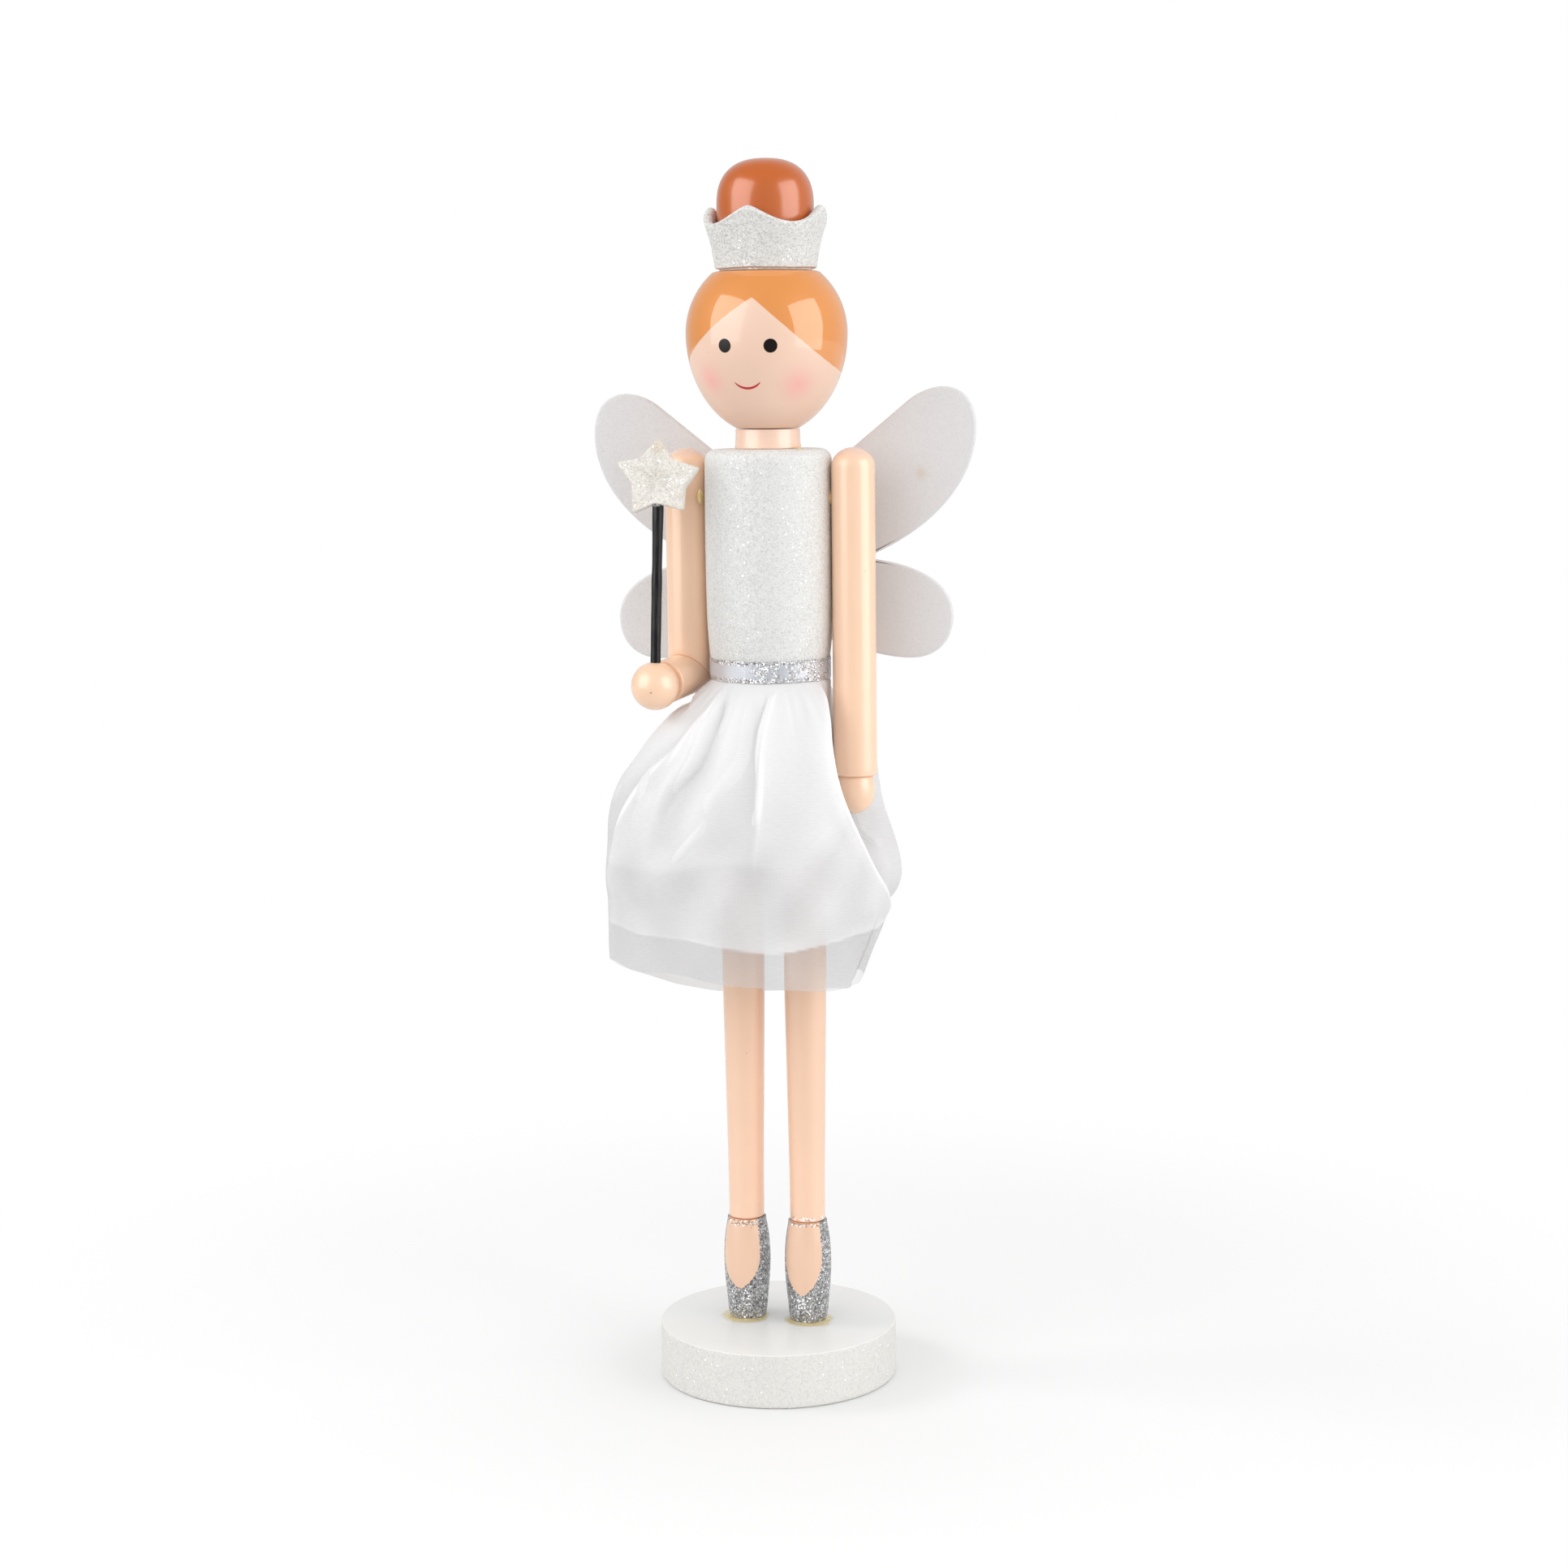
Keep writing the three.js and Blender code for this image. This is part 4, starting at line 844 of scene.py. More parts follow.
CORNERS = [(-0.43, 10.24), (-5.08, 4.63), (-12.21, 3.04), (-7.41, -2.76), (-7.05, -11.21)]
CORNERS += [(-0.25, -8.0), (7.69, -9.78), (7.9, -3.62), (11.91, 2.43), (3.99, 4.46)]
corners = np.array(CORNERS)
share = np.linspace(0, 1, 16, endpoint=False)[:, None]
outline = (corners[:, None] * (1 - share) + np.roll(corners, -1, 0)[:, None] * share).reshape(-1, 2)
ends = np.concatenate([outline[-4:], outline, outline[:4]])
blur = np.array([0.15, 0.2, 0.3, 0.2, 0.15])
outline = np.stack([np.convolve(ends[:, k], blur, "same")[4:-4] for k in (0, 1)], -1)
middle = outline.mean(0)
grow = np.array([0.2, 0.4, 0.6, 0.78, 0.9, 0.955, 0.985, 1.0, 1.0, 1.0, 0.985, 0.955, 0.8, 0.4])
front = np.array([1.55, 1.55, 1.55, 1.55, 1.58, 1.6, 1.45, 1.15, 0, -1.15, -1.45, -1.6, -1.6, -1.6])
flat = middle + (outline - middle) * grow[:, None, None]
rows = np.stack([flat[..., 0], np.broadcast_to(-front[:, None], flat.shape[:2]), flat[..., 1]], -1)
rough = np.random.default_rng(21).normal(size=rows.shape) * [0.03, 0.06, 0.03]
rows += rough * (np.abs(front) > 1.3)[:, None, None]
poles = np.array([[middle[0], -1.55, middle[1]], [middle[0], 1.6, middle[1]]])
back = np.radians(5)
TILT = np.array([[1, 0, 0], [0, np.cos(back), -np.sin(back)], [0, np.sin(back), np.cos(back)]])
points, faces = closed(rows, poles)
points = (points @ TILT + [0, 0, 60.05]) @ WAND + HAND
shape = points, [block[:, ::-1] for block in faces]
lay("Wand_star", shape, star_glitter, ["wand_star"], sharp=50)

# %% [markdown]
# ## Wings
# The wings are one thin board, sawn in four lobes and glitter-coated, glued to the flat on the back. The
# outline is drawn as curves for one half and mirrored. The board is a fan of that outline about its
# middle with rounded edges.

# %% Wing board
HALF = [
    [(0, -17.4), (12.2, -7.6), (24.4, 2.2), (36.6, 12)],
    [(36.6, 12), (44.6, 18.8), (57.2, 18.8), (57.2, 4.5)],
    [(57.2, 4.5), (57.2, -9), (46.5, -24), (24, -32.6)],
    [(24, -32.6), (37, -33.6), (50.4, -38.6), (50.4, -49.4)],
    [(50.4, -49.4), (50.4, -57.4), (45, -61.7), (38, -61.7)],
    [(38, -61.7), (28, -61.7), (14, -56.4), (0, -51.4)],
]
t = np.linspace(0, 1, 40, endpoint=False)[:, None]
shares = [(1 - t) ** 3, 3 * (1 - t) ** 2 * t, 3 * (1 - t) * t * t, t**3]
half = np.concatenate([sum(s * p for s, p in zip(shares, curve)) for curve in np.array(HALF, float)])
outline = np.concatenate([half, [[0, -51.4]], half[:0:-1] * [-1, 1]])[::-1]
tangent = np.roll(outline, -1, 0) - np.roll(outline, 1, 0)
outward = np.stack([tangent[:, 1], -tangent[:, 0]], -1) / np.linalg.norm(tangent, axis=1)[:, None]
middle = np.array([0, -36.0])
grow = np.array([0.2, 0.4, 0.6, 0.8, 0.93])
inset = [0.75, 0.45, 0.15, 0.0, 0.0, 0.15, 0.45, 0.75]
plane = np.concatenate(
    [
        middle + (outline - middle) * grow[:, None, None],
        np.stack([outline - outward * d for d in inset]),
        middle + (outline - middle) * grow[::-1, None, None],
    ]
)
BOARD, TORSO_TOP, ASKEW = 1.5, 273.4, 0.8
depth = BACK_FLAT + np.array([0] * 6 + [0.02, 0.2, 0.5, 1.0, 1.3, 1.48] + [BOARD] * 6)
rows = np.broadcast_arrays(plane[..., 0], depth[:, None], plane[..., 1] + TORSO_TOP)
centre = TORSO_TOP + middle[1]
points, faces = closed(np.stack(rows, -1), [[0, BACK_FLAT, centre], [0, BACK_FLAT + BOARD, centre]])
points[:, 2] += points[:, 0] * np.tan(np.radians(ASKEW))
lay("Wings", (points, faces), wing_glitter, ["wing_panel"])

# %% [markdown]
# ## Ribbon
# A narrow metallic ribbon covers the gathered top of the skirt. Its middle is a smooth satin and its
# edges are woven with tinsel that sparkles, and towards the figure's left some of the tinsel is strewn
# over the satin too. It is a thin closed band, with its length and width laid out as cloth directions so
# that the threads run along it.

# %% Ribbon
RIBBON_OUT, RIBBON_FOOT, RIBBON_WIDE = 17.5, 207.7, 6.2
ribbon_foil, tree, shader, place = finish("Metallic ribbon", Specular_IOR_Level=0.6)
cloth = node(tree, "UVMap", uv_map="Cloth").outputs[0]
across = calc(tree, "ABSOLUTE", calc(tree, "SUBTRACT", split(tree, cloth)[1], RIBBON_WIDE / 2))
tinsel = ramp(tree, across, 1.5, 2.2)
strewn = ramp(tree, noise(tree, place, 0.3, 2.0), 0.44, 0.52)
strewn = calc(tree, "MULTIPLY", strewn, ramp(tree, split(tree, place)[0], -5, 3))
tinsel = calc(tree, "MAXIMUM", tinsel, calc(tree, "MULTIPLY", strewn, 0.8))
thread = use(tree, "Weave", Cloth=cloth, Pitch=0.5)
flakes = {"Flake": 0.34, "Colour": linear(226, 226, 229), "Depth": 0.85, "Spark": 0.25, "Tilt": 1.3}
bright = use(tree, "Glitter", Place=place, **flakes)
satin = mix(tree, thread["Closed"], linear(182, 185, 193), linear(204, 207, 214))
satin_bump = bump(tree, thread["Closed"], 0.15, 0.0002)
give(
    tree,
    shader,
    **{
        "Base Color": mix(tree, tinsel, satin, bright["Colour"]),
        "Roughness": calc(tree, "MULTIPLY_ADD", tinsel, -0.1, 0.38),
        "Metallic": calc(tree, "MULTIPLY_ADD", tinsel, 0.2, 0.3),
        "Normal": mix(tree, tinsel, satin_bump, bright["Normal"]),
    },
)

turn = turns(256)
edge = 0.06 * wobble(turn, 31, 3, 20)
lower = [[17.05, 0.0], [17.3, 0.0], [17.42, 0.1]]
upper = [[out, RIBBON_WIDE - rise] for out, rise in lower[::-1]]
section = np.array([*lower, *[[17.48, rise] for rise in np.linspace(0.5, 5.7, 12)], *upper])
radius = section[:, :1] + 0.03 * wobble(turn, 32, 2, 12)
height = RIBBON_FOOT + section[:, 1:] + edge
rows = np.stack([radius * np.cos(turn), radius * np.sin(turn), height], -1)
count, sides = rows.shape[:2]
faces, row, col = steps(count, sides)
closing = np.stack([np.roll(np.arange(sides), -1), np.arange(sides)], -1)
inside = np.concatenate([closing, ((count - 1) * sides + closing)[:, ::-1]], -1)
uv = np.stack([col * TURN * RIBBON_OUT / sides, section[row, 1]], -1)
uv = np.concatenate([uv.reshape(-1, 2), np.zeros((4 * sides, 2))])
shape = rows.reshape(-1, 3), [faces, inside]
lay("Ribbon", shape, ribbon_foil, ["waist_ribbon"], uv=uv)

# %% [markdown]
# ## Organza
# The skirt is three lengths of white organza, gathered under the ribbon. One thickness is a grey veil, and
# two or more are milky and let less through. A see-through shader alone would need the light between the
# sheets to be just right. So each sheet carries on its points how many others hang behind it, how far it
# stands out from the cloth beside it, and where a painted highlight runs along a pressed edge. The cloth
# gets paler and closer where more sheets hang behind it, as painted light for what they send back. It is
# painted lighter where it stands out and darker with painted shade where it lies back, and the highlights
# are painted white and a little closer.

# %% Organza finish
organza, tree, shader, place = finish("Organza", Roughness=0.5, Specular_IOR_Level=0.3)
cloth = node(tree, "UVMap", uv_map="Cloth").outputs[0]
thread = use(tree, "Weave", Cloth=cloth, Pitch=0.42)
LABELS = ("backing", "relief_light_and_shade", "painted_highlight")
backing, relief_light_and_shade, painted_highlight = [node(tree, "Attribute", attribute_name=label).outputs["Fac"] for label in LABELS]
# Painted light: the cloth is paler the more sheets hang behind it, for the light those sheets send back.
tone = mix(tree, ramp(tree, backing, 0.0, 1.0), linear(201, 201, 202), linear(229, 228, 229))
tone = mix(tree, ramp(tree, backing, 1.0, 2.0), tone, linear(227, 227, 228))
# Painted light and shade: lighter where the sheet stands out from the cloth beside it, darker where it lies
# back.
tone = vector(tree, "MULTIPLY", tone, calc(tree, "MULTIPLY_ADD", relief_light_and_shade, 0.12, 1.0))
# Painted highlights along the pressed edges of the pleats, which also close the cloth.
tone = mix(tree, calc(tree, "MULTIPLY", painted_highlight, 0.5), tone, linear(255, 255, 255))
cover = calc(tree, "MULTIPLY_ADD", calc(tree, "POWER", backing, 0.6), 0.3, 0.43)
cover = calc(tree, "MULTIPLY_ADD", painted_highlight, 0.25, cover)
cover = calc(tree, "MULTIPLY_ADD", calc(tree, "SUBTRACT", thread["Closed"], 0.8), 0.2, cover)
cover = calc(tree, "MULTIPLY_ADD", calc(tree, "SUBTRACT", thread["Slub"], 0.5), 0.12, cover)
give(
    tree,
    shader,
    **{
        "Base Color": tone,
        "Alpha": calc(tree, "MINIMUM", calc(tree, "MAXIMUM", cover, 0.0), 1.0),
        "Normal": bump(tree, thread["Slub"], 0.08, 0.0003),
    },
)

# %% [markdown]
# ## Skirt
# The cloth swells from the ribbon to its fullest half way down. It hangs fuller on the figure's right,
# is tucked in low on the left, and is pressed in behind the hanging hand and under the elbow. Pleats
# start at the ribbon and run out before the hem. The hems hang lower at the back, where from the camera
# they fall on the front ones. A simulation would settle differently each time, so each sheet is a
# surface instead: a radius at every turn and height, from the outline on four sides, less the folds and
# the presses.

# %% Skirt outline and hems
WEST = [(112, 47.0), (126, 47.8), (137, 47.5), (145, 47.9), (149, 48.6), (160, 48.6), (168, 48.2)]
WEST += [(172, 47.4), (176, 46.0), (180, 43.9), (183, 41.6), (187, 38.6), (191, 35.9), (194.5, 32.9)]
WEST += [(200.6, 26.6), (204, 22.4)]
EAST = [(112, 20.5), (117, 22.5), (121, 24.4), (125, 26.4), (129, 28.5), (133, 30.8), (136.5, 32.8)]
EAST += [(140, 34.9), (144, 37.8), (148, 38.7), (152, 38.3), (159.5, 36.7), (167, 35.2), (175, 34.4)]
EAST += [(183, 32.8), (191, 29.2), (200, 23.6), (204, 20.4)]
FRONT = [(112, 41.5), (125, 42.6), (137, 43.4), (150, 44.0), (160, 43.6), (170, 41.8), (180, 38.0)]
FRONT += [(190, 31.8), (200, 24.4), (204, 20.9)]
for line in (WEST, EAST, FRONT):
    line += [(207.6, 17.0), (214, 16.9)]
TOP, GATHER = 212.6, 207.4
HEMS = {
    "outer": [(2, 122.2), (14, 121.2), (30, 117.5), (60, 111), (100, 106.5), (140, 109), (168, 117.5)],
    "middle": [(0, 139.5), (60, 138), (120, 136), (180, 137), (231, 138), (254, 137.5), (267, 136)],
    "lining": [(0, 172), (90, 160), (180, 157), (221, 156.5), (245, 157), (265, 160), (278, 159.5)],
}
HEMS["outer"] += [(193, 125), (215, 126.8), (240, 127.6), (264, 126), (278, 125), (293, 124)]
HEMS["outer"] += [(316, 122.6), (335, 122)]
HEMS["middle"] += [(284, 135), (298, 136), (310, 137.5), (328, 138)]
HEMS["lining"] += [(288, 158.5), (298, 162), (307, 168), (316, 173)]
print("knots", {name: len(knots) for name, knots in HEMS.items()}, "hang from", TOP)

# %% [markdown]
# ## Folds
# A pleat is a valley that starts at the ribbon, wanders down the cloth and runs out. Each is a path of
# (height, degrees), its depth, the reach of its two slopes in degrees and the height where it has gone.
# The front panel's edge is a path too, with a hollow behind it. The three sheets share the folds, but
# hang further in, are pulled at the left and have the pleats a little to one side.

# %% Folds
MIDDLE_FOLD = [(160, 275.5), (170, 276.5), (184, 277), (190, 276.5), (197, 278), (202, 281.5), (207, 288)]
PLEATS = [
    (MIDDLE_FOLD, 3.0, 13, 1.8, 150),
    ([(160, 238), (179, 242.5), (185, 246), (193, 247), (201, 245.5), (207, 243)], 3.8, 4.5, 9, 152),
    ([(150, 205), (172, 212), (184, 219), (190, 226.5), (200, 232)], 2.4, 9, 3, 140),
    ([(140, 302), (186, 300), (207, 306)], 1.2, 10, 8, 150),
    ([(140, 186), (207, 190)], 2.2, 9, 9, 150),
    ([(140, 161), (207, 158)], 3.2, 8, 10, 140),
    ([(140, 128), (207, 133)], 3.4, 10, 6, 135),
    ([(140, 102), (207, 99)], 3.0, 8, 8, 145),
    ([(140, 70), (207, 74)], 3.4, 6, 10, 140),
]
EDGE = [(112, 358), (125, 356), (138, 349), (147, 340), (158, 328.5), (172, 319), (186, 316.5)]
EDGE += [(193, 320), (207, 337)]
BEHIND = [(112, 0.0), (126, 0.3), (135, 2.0), (144, 5.0), (152, 9.0), (160, 16.0), (168, 26.0), (214, 26.0)]
HOLLOW_END = [(112, 28), (150, 30), (172, 42), (214, 42)]
HOLLOW_GONE = [(112, 48), (150, 54), (172, 80), (214, 80)]
# Path of a strip at the figure's left that is drawn a little darker.
DARKER_STRIP = [(130, 8), (150, 16), (170, 22), (190, 26)]
# Painted highlights along the pressed edges of the pleats: each path, its width in degrees and the heights
# where it starts and ends.
MIDDLE_HIGHLIGHT_PATH = [(162, 277), (170, 278), (184, 278.5), (190, 278), (197, 280), (202, 283.5), (207, 291)]
HIGHLIGHT_PATHS = [
    (EDGE, 1.0, 140, 206),
    (MIDDLE_HIGHLIGHT_PATH, 1.3, 168, 206),
    ([(182, 231), (188, 233.5), (197, 235.5), (202, 241), (205, 242.5)], 1.3, 184, 205),
    ([(160, 210), (172, 217.5), (184, 224.5), (190, 231.5)], 1.2, 164, 189),
]
HANGS = ("cad", "inset", "tucked", "pulled", "slant", "limp", "seed")
SHEETS = {
    "outer": dict(zip(HANGS, ("skirt_outer_layer", 0.0, 0.0, 0.0, 0.0, 0.4, 40))),
    "middle": dict(zip(HANGS, ("skirt_middle_layer", 0.25, 1.8, 4.0, 3.0, 0.8, 50))),
    "lining": dict(zip(HANGS, ("skirt_lining", 0.5, 3.4, 8.0, -3.0, 0.9, 60))),
}
print(len(PLEATS), "pleats and", len(HIGHLIGHT_PATHS), "streaks on", len(SHEETS), "sheets")

# %% [markdown]
# ## Lines on the cloth
# The surface is put together from a few plain lines: a soft step, the turn away from a direction, a
# closed line round the figure, an uneven sheet and a pleat. They work on whole grids of angles and
# heights at once.

# %% Lines on the cloth
def ease(x, start, end):
    """Smooth step from 0 at start to 1 at end."""
    t = np.clip((x - start) / (end - start), 0, 1)
    return t * t * (3 - 2 * t)


def away(angle, direction):
    """Signed turn in degrees from a direction, from -180 to 180."""
    return (angle - direction + 180) % 360 - 180


def round_line(angle, knots):
    """Smooth closed line through (degrees, value) knots."""
    knots = np.array(knots, float)
    return through(angle % 360, np.concatenate([knots[-2:] - [360, 0], knots, knots[:2] + [360, 0]]))


def crumple(turn, z, seed, count=16):
    """Uneven closed sheet of about unit height: waves that run round and down it in many directions."""
    rng = np.random.default_rng(seed)
    across, down = rng.integers(4, 17, (count, 1, 1)), rng.normal(0, 0.16, (count, 1, 1))
    return np.sin(across * turn + down * z + rng.uniform(0, TURN, (count, 1, 1))).sum(0) / np.sqrt(count / 2)


def crease(angle, z, path, depth, left, right, low):
    """Depth of one pleat: a valley along a path of angles, steeper on one side, that runs out below."""
    off = away(angle, through(z, path))
    off = off / np.where(off < 0, left, right)
    return depth * np.exp(-off * off) * ease(z, low, low + 34) * ease(z, GATHER, 198)


print("the first pleat is", crease(276.0, 184.0, *PLEATS[0]).round(2), "mm deep at 184 mm up")

# %% [markdown]
# ## Skirt surface
# The outline is known on the two sides and at the front, and goes from one to the other by the square of
# a cosine. The pleats and the hollow are taken from it. Where the hand hangs the cloth keeps clear of
# the arm's round, and under the elbow it is pressed to a slope.

# %% Skirt surface
HELD_OFF, HELD_TURN, PRESS_TURN, INNERMOST = 7.0, 0.285, 193, 15.4


def skirt(angle, z, layer):
    """Radius of one sheet over angles in degrees and heights in millimetres.

    Outline on four sides, less the pleats, the hollow behind the front edge and what the arms press."""
    side = np.cos(np.radians(angle - 14))
    turned = np.where(side < 0, through(z, WEST), through(z, EAST))
    radius = through(z, FRONT) + (turned - through(z, FRONT)) * side**2
    for path, depth, left, right, low in PLEATS:
        moved = [(height, at + layer["slant"]) for height, at in path]
        radius = radius - crease(angle, z, moved, depth, left, right, low)
    turn = np.radians(angle)
    radius = radius + layer["limp"] * ease(z, 200, 168) * crumple(turn, z, layer["seed"])
    gathers = wobble(turn, layer["seed"] + 1, 24, 44)
    radius = radius + 0.1 * ease(z, 188, 203) * ease(z, GATHER, 204) * gathers
    past = away(angle, through(z, EDGE))
    spare = np.minimum(through(z, BEHIND), np.maximum(radius - 17.4, 0))
    filled = ease(past, through(z, HOLLOW_END), through(z, HOLLOW_GONE))
    radius = radius - spare * ease(past, 0, 7) * (1 - filled)
    pulled = layer["pulled"] * np.clip(np.cos(np.radians(angle - 25)), 0, 1) ** 2
    radius = np.maximum(radius - layer["inset"] - (layer["tucked"] + pulled) * ease(z, 206, 150), INNERMOST)
    near = np.radians(away(angle, 0))
    reach = ARM_OUT * np.cos(near) - np.sqrt(np.maximum(HELD_OFF**2 - (ARM_OUT * np.sin(near)) ** 2, 0))
    held = (np.abs(near) < HELD_TURN) * ease(z, 156, 166.5)
    radius = radius + (np.minimum(radius, reach - layer["inset"]) - radius) * held
    off = np.abs(away(angle, PRESS_TURN))
    along = np.clip((away(angle, 175.4) - 15.6) / 35.0, 0, 1)
    pressed = (1 - ease(off, 34, 48)) * ease(z, 198.5, 203.0)
    return radius + (np.minimum(radius, 18.1 + 9.4 * along - layer["inset"]) - radius) * pressed


tried = skirt(np.array([[180.0, 270.0, 90.0]]), np.array([[130.0], [160.0], [190.0]]), SHEETS["outer"])
print("radius on the right, front and back, going up", tried.round(1).tolist())

# %% [markdown]
# ## Skirt sheets
# Each sheet runs from its own hem up under the ribbon. What hangs behind a point follows from the three
# hems: one sheet below the middle hem, two above it and three above the lining's, more softly, and more
# again towards the waist, and the finish turns that into painted light. The lining's hem also shows as a
# faint line with a bright side, and a strip at the left is drawn a little darker. Each sheet is painted
# lighter where it stands out and darker with painted shade where it lies back, and the pressed edges of the
# pleats carry painted highlight streaks.

# %% Skirt sheets
for name, layer in SHEETS.items():
    rows, cols = (110, 640) if name == "outer" else (80, 480)
    angle = np.linspace(0, 360, cols, endpoint=False)[None, :]
    hem = round_line(angle, HEMS[name]) + 0.2 * wobble(np.radians(angle), layer["seed"] + 2, 5, 12)
    z = hem + (TOP - hem) * np.linspace(0, 1, rows)[:, None]
    angle = np.broadcast_to(angle, z.shape)
    radius = skirt(angle, z, layer)
    turn = np.radians(angle)
    points = np.stack([radius * np.cos(turn), radius * np.sin(turn), z], -1)
    around = np.linalg.norm(np.roll(points, -1, 1) - points, axis=-1).sum(1)
    down = np.linalg.norm(np.diff(points, axis=0), axis=-1).sum(0).mean()
    faces, row, col = steps(rows, cols)
    uv = np.stack([col / cols * around.max(), row / (rows - 1) * down], -1).reshape(-1, 2)
    shape = points.reshape(-1, 3), [faces]
    piece = lay(f"Skirt_{name}", shape, organza, [layer["cad"]], uv=uv, sharp=180)
    alone = np.maximum(np.exp(-((away(angle, 197) / 9) ** 2)), 0.3 * np.exp(-((away(angle, 28) / 36) ** 2)))
    alone = alone * ease(z, 190, 175)
    above = z - round_line(angle, HEMS["lining"])
    lined = ease(above + 2.0 * crumple(turn, z, 70, 9), -6, 6)
    # What hangs behind each point, which the finish turns into painted light: paler and closer cloth, whiter
    # still towards the waist.
    backing = ease(z - round_line(angle, HEMS["middle"]), -0.4, 0.4)
    backing = backing * (1 + lined) * (1 - 0.55 * alone) + ease(z, 172, 204)
    span = cols // 26
    window = np.hanning(2 * span + 1) / np.hanning(2 * span + 1).sum()
    spread = sum(w * np.roll(radius, k - span, 1) for k, w in enumerate(window))
    # Painted light and shade: lighter on crests and darker in valleys, with crumpled patches lower down.
    relief_light_and_shade = np.tanh((radius - spread) / 1.3) + 0.22 * crumple(turn, z, 73, 12) * ease(z, 172, 160)
    mark = np.exp(-((above / 5) ** 2)) * np.tanh(above / 0.6) * ease(np.abs(away(angle, 240)), 60, 35)
    darker_strip = ease(away(angle, through(z, DARKER_STRIP)), -1.2, 1.2) * ease(away(angle, 70), 20, -20)
    relief_light_and_shade = relief_light_and_shade + 0.3 * mark - 0.3 * darker_strip * ease(z, 128, 140) * ease(z, 192, 178)
    # Painted highlight streaks along the pressed edges of the outer sheet.
    streak = 0 * z
    for path, wide, low, high in HIGHLIGHT_PATHS if name == "outer" else []:
        line = np.exp(-((away(angle, through(z, path)) / wide) ** 2))
        streak = np.maximum(streak, line * ease(z, low, low + 10) * ease(z, high + 1, high - 4))
    for label, values in zip(LABELS, (backing, relief_light_and_shade, streak)):
        note(piece, label, values)
    flat = (around.max() * MM, down * MM)
    print(f"  {name} cut {flat[0] * 1000:.0f} x {flat[1] * 1000:.0f} mm")

# %% [markdown]
# ## Glue
# Glue has squeezed out of the joints and dried yellow: a thin uneven ring under each foot, a bead beside
# the neck, a spot at the right shoulder, and a lump of it under the star. The rings thin out to nothing
# on the base, so their finish is see-through towards the rim.

# %% Glue finish and pieces
glue, tree, shader, place = finish("Dried glue", Roughness=0.18, IOR=1.48)
thin = node(tree, "Attribute", attribute_name="thin").outputs["Fac"]
patch = noise(tree, place, 0.5, 2.0)
give(
    tree,
    shader,
    **{
        "Base Color": mix(tree, ramp(tree, patch, 0.35, 0.65), linear(240, 226, 176), linear(232, 206, 138)),
        "Alpha": calc(tree, "MULTIPLY_ADD", thin, -0.8, 0.85),
    },
)


def lump(name, centre, half, material, seed, uneven=0.12):
    """A rounded drop with an uneven skin, given by its centre and half-sizes."""
    angle = np.radians(np.linspace(-84, 84, 24))
    ring = np.stack([np.cos(angle), np.sin(angle)], -1)
    wave = uneven * wobble(turns(48), seed, 2, 7)
    points, faces = lathe(ring, ends=(-1, 1), sides=48, wave=wave)
    piece = lay(name, (points * half + centre, faces), material, [])
    note(piece, "thin", np.zeros(len(points)))


UNDER_TOE = 4.6
turn = turns(96)
share = np.linspace(0, 1, 9)[:, None]
height = BASE_TOP + 0.02 + 0.55 * (1 - share) ** 1.4
for side, (x_axis, *_) in FEET.items():
    reach = 7.0 - 1.7 * np.minimum(np.sin(turn), 0) + 0.5 * wobble(turn, 81 if side == "left" else 84, 1, 7)
    radius = UNDER_TOE + (reach - UNDER_TOE) * share
    rows = np.stack(np.broadcast_arrays(x_axis + radius * np.cos(turn), radius * np.sin(turn), height), -1)
    shape = rows.reshape(-1, 3), [steps(*rows.shape[:2])[0][:, ::-1]]
    piece = lay(f"Glue_foot_{side}", shape, glue, [], sharp=180)
    note(piece, "thin", np.broadcast_to(share**1.5, rows.shape[:2]))

lump("Glue_shoulder", (-19.1, -4.6, 259.9), (0.7, 0.9, 2.0), glue, 91)
lump("Glue_neck", (10.2, -4.5, 273.6), (1.3, 1.6, 0.35), glue, 92)
grey_lump, *_ = glittered("Glue with glitter", 0.4, linear(170, 168, 166), 0.7, 0.1, 1.2)
lump("Glue_star", (np.array([0.1, -0.9, 52.0]) @ WAND + HAND), (1.7, 1.1, 1.0), grey_lump, 93, 0.2)

# %% [markdown]
# ## Camera
# The picture was taken a little from the figure's left and from above its waist. The camera's place,
# pitch, roll and lens follow from the ellipses of the base, the top of the bun and the level of the
# torso's top.

# %% Camera
ROUND, PITCH, ROLL = np.radians([14.0, 8.094, -0.653])
AWAY, EYE_LEVEL, SIDEWAYS = 834.6, 295.2, 3.48
right = np.array([np.cos(ROUND), np.sin(ROUND), 0])
back = np.array([np.sin(ROUND) * np.cos(PITCH), -np.cos(ROUND) * np.cos(PITCH), np.sin(PITCH)])
up = np.cross(back, right)
matrix = np.eye(4)
matrix[:3, 0] = right * np.cos(ROLL) + up * np.sin(ROLL)
matrix[:3, 1] = up * np.cos(ROLL) - right * np.sin(ROLL)
matrix[:3, 2] = back
towards = np.array([np.sin(ROUND), -np.cos(ROUND), 0])
matrix[:3, 3] = (towards * AWAY + [0, 0, EYE_LEVEL] + right * SIDEWAYS) * MM
lens = bpy.data.cameras.new("Camera")
lens.lens, lens.sensor_width, lens.clip_start, lens.clip_end = 66.606, 36, 0.01, 100
camera = bpy.data.objects.new("Camera", lens)
camera.matrix_world = Matrix(matrix.tolist())
bpy.context.scene.collection.objects.link(camera)
bpy.context.scene.camera = camera
print("camera at", matrix[:3, 3].round(4), "m")

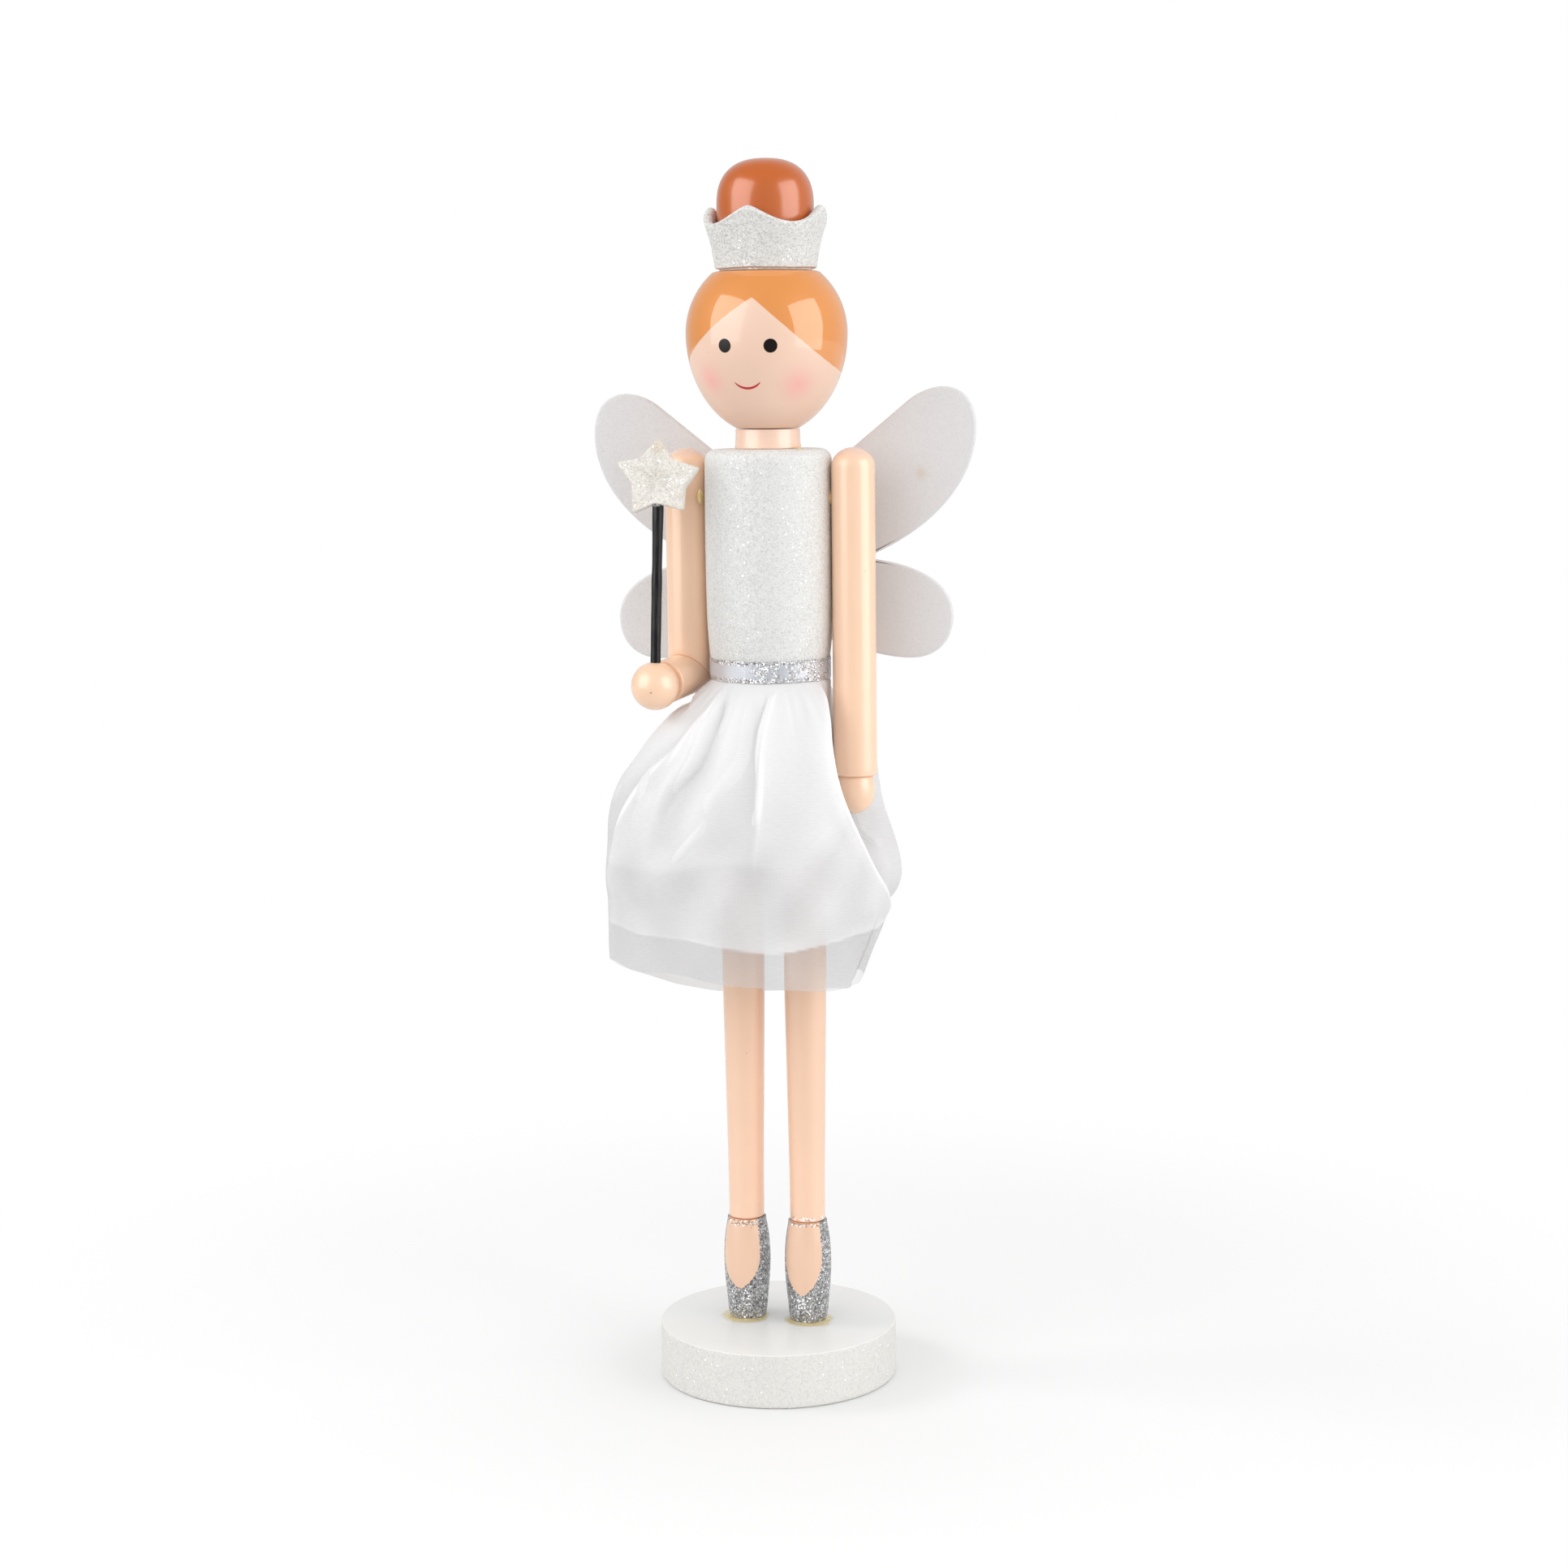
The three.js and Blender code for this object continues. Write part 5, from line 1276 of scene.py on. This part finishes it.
# %% [markdown]
# ## Lamps and world
# Two large soft boxes stand at the sides, and their reflections show on the hair. Lamps bright enough for
# those would burn out the white pieces, so each box is a soft lamp and a glare behind it that only
# reflections see. Three fills beside the camera lift the front and are kept out of the reflections. A
# small key far to the figure's right throws the star's shadow on the torso. The world is a white sweep:
# bright behind, dimmer in front, and plain white to the camera.

# %% Lamps and world
SOFT_BOXES = [("right", -47, 22, 1.25, 0.42), ("left", 77, 16, 1.15, 1.15)]
FILLS = [("right", -32, 0.62), ("middle", 4, 0.55), ("left", 44, 0.8)]
TALL, GLARE, CHEST = 1.3, 2.6, 0.22


def soft_box(name, turn, rise, wide, tall, glow, distance=1.3):
    """A rectangular lamp that faces the figure from a direction in degrees, with one glow all over it."""
    lamp = bpy.data.lights.new(name, "AREA")
    lamp.shape, lamp.size, lamp.size_y = "RECTANGLE", wide, tall
    lamp.energy = glow * 4 * wide * tall
    a, e = np.radians([turn, rise])
    towards = np.array([np.sin(a) * np.cos(e), -np.cos(a) * np.cos(e), np.sin(e)])
    side = np.array([np.cos(a), np.sin(a), 0])
    matrix = np.eye(4)
    matrix[:3, 0], matrix[:3, 1], matrix[:3, 2] = side, np.cross(towards, side), towards
    matrix[:3, 3] = towards * distance + [0, 0, CHEST]
    held = bpy.data.objects.new(name, lamp)
    held.matrix_world = Matrix(matrix.tolist())
    bpy.context.scene.collection.objects.link(held)
    print(f"{name}: {wide} x {tall} m, {lamp.energy:.2f} W")
    return held


for side, turn, rise, wide, glow in SOFT_BOXES:
    soft_box(f"Soft box {side} of the figure", turn, rise, wide, TALL, glow)
    glare = soft_box(f"Glare of the {side} soft box", turn, rise, wide, TALL, GLARE - glow, 1.33)
    glare.visible_diffuse = False
for side, turn, glow in FILLS:
    fill = soft_box(f"Fill beside the camera, {side} of the figure", turn, 14, 1.2, 1.5, glow, 1.5)
    fill.visible_glossy = False
key = soft_box("Key beside the star", -82, 27, 0.45, 0.45, 5.0)
key.visible_glossy = False

world = bpy.data.worlds.new("White sweep")
bpy.context.scene.world = world
world.use_nodes = True
tree = world.node_tree
_, y, z = split(tree, node(tree, "TexCoord").outputs["Generated"])
mirrored = ramp(tree, y, 0.1, 0.95, 0.15, 0.65)
spread = calc(tree, "ADD", ramp(tree, y, -0.3, 0.5, 0.36, 0.95), ramp(tree, z, 0.2, 1.0, 0.0, 0.35))
path = node(tree, "LightPath").outputs
level = calc(tree, "MULTIPLY_ADD", path["Is Glossy Ray"], calc(tree, "SUBTRACT", mirrored, spread), spread)
level = calc(tree, "MAXIMUM", level, path["Is Camera Ray"])
tree.links.new(level, tree.nodes["Background"].inputs["Strength"])
tree.nodes["Background"].inputs["Color"].default_value = (1, 1, 1, 1)

# %% [markdown]
# ## Floor
# The figure stands on white paper that runs up behind it. A curved sheet would need its own light to
# look even, so the floor is a wide flat disc. It is paper near the figure, where it takes the shadow,
# and fades into plain white away from it.

# %% Floor
FLOOR_LEVEL = -0.02
sweep, tree, shader, place = finish("White floor", Base_Color=(0.8, 0.8, 0.8, 1), Roughness=0.7)
x, y, _ = split(tree, place)
far = calc(tree, "SQRT", calc(tree, "ADD", calc(tree, "MULTIPLY", x, x), calc(tree, "MULTIPLY", y, y)))
seen = node(tree, "LightPath").outputs["Is Camera Ray"]
glow = calc(tree, "MAXIMUM", ramp(tree, y, -700, 100, 0.3, 0.85), seen)
lit = node(tree, "Emission", {"Color": (1, 1, 1, 1), "Strength": glow}).outputs[0]
paper = tree.nodes["Principled BSDF"].outputs[0]
merged = node(tree, "MixShader", {0: ramp(tree, far, 120, 330), 1: paper, 2: lit})
tree.links.new(merged.outputs[0], tree.nodes["Material Output"].inputs["Surface"])

ring = np.array([40, 80, 160, 320, 700, 1500, 4000.0])[:, None]
turn = turns(96)
rows = np.stack(np.broadcast_arrays(ring * np.cos(turn), ring * np.sin(turn), FLOOR_LEVEL), -1)
points = np.concatenate([rows.reshape(-1, 3), [[0, 0, FLOOR_LEVEL]]])
here = np.arange(len(turn))
fan = np.stack([np.full(len(turn), len(points) - 1), here, np.roll(here, -1)], -1)
mesh = bpy.data.meshes.new("Floor")
mesh.from_pydata((points * MM).tolist(), [], steps(*rows.shape[:2])[0][:, ::-1].tolist() + fan.tolist())
mesh.materials.append(sweep)
floor = bpy.data.objects.new("Floor", mesh)
bpy.context.scene.collection.objects.link(floor)
print("floor of", len(points), "points")

# %% [markdown]
# ## Colour view
# The scene's colours are shown through the plain Standard view.

# %% Colour view
bpy.context.scene.view_settings.view_transform = "Standard"
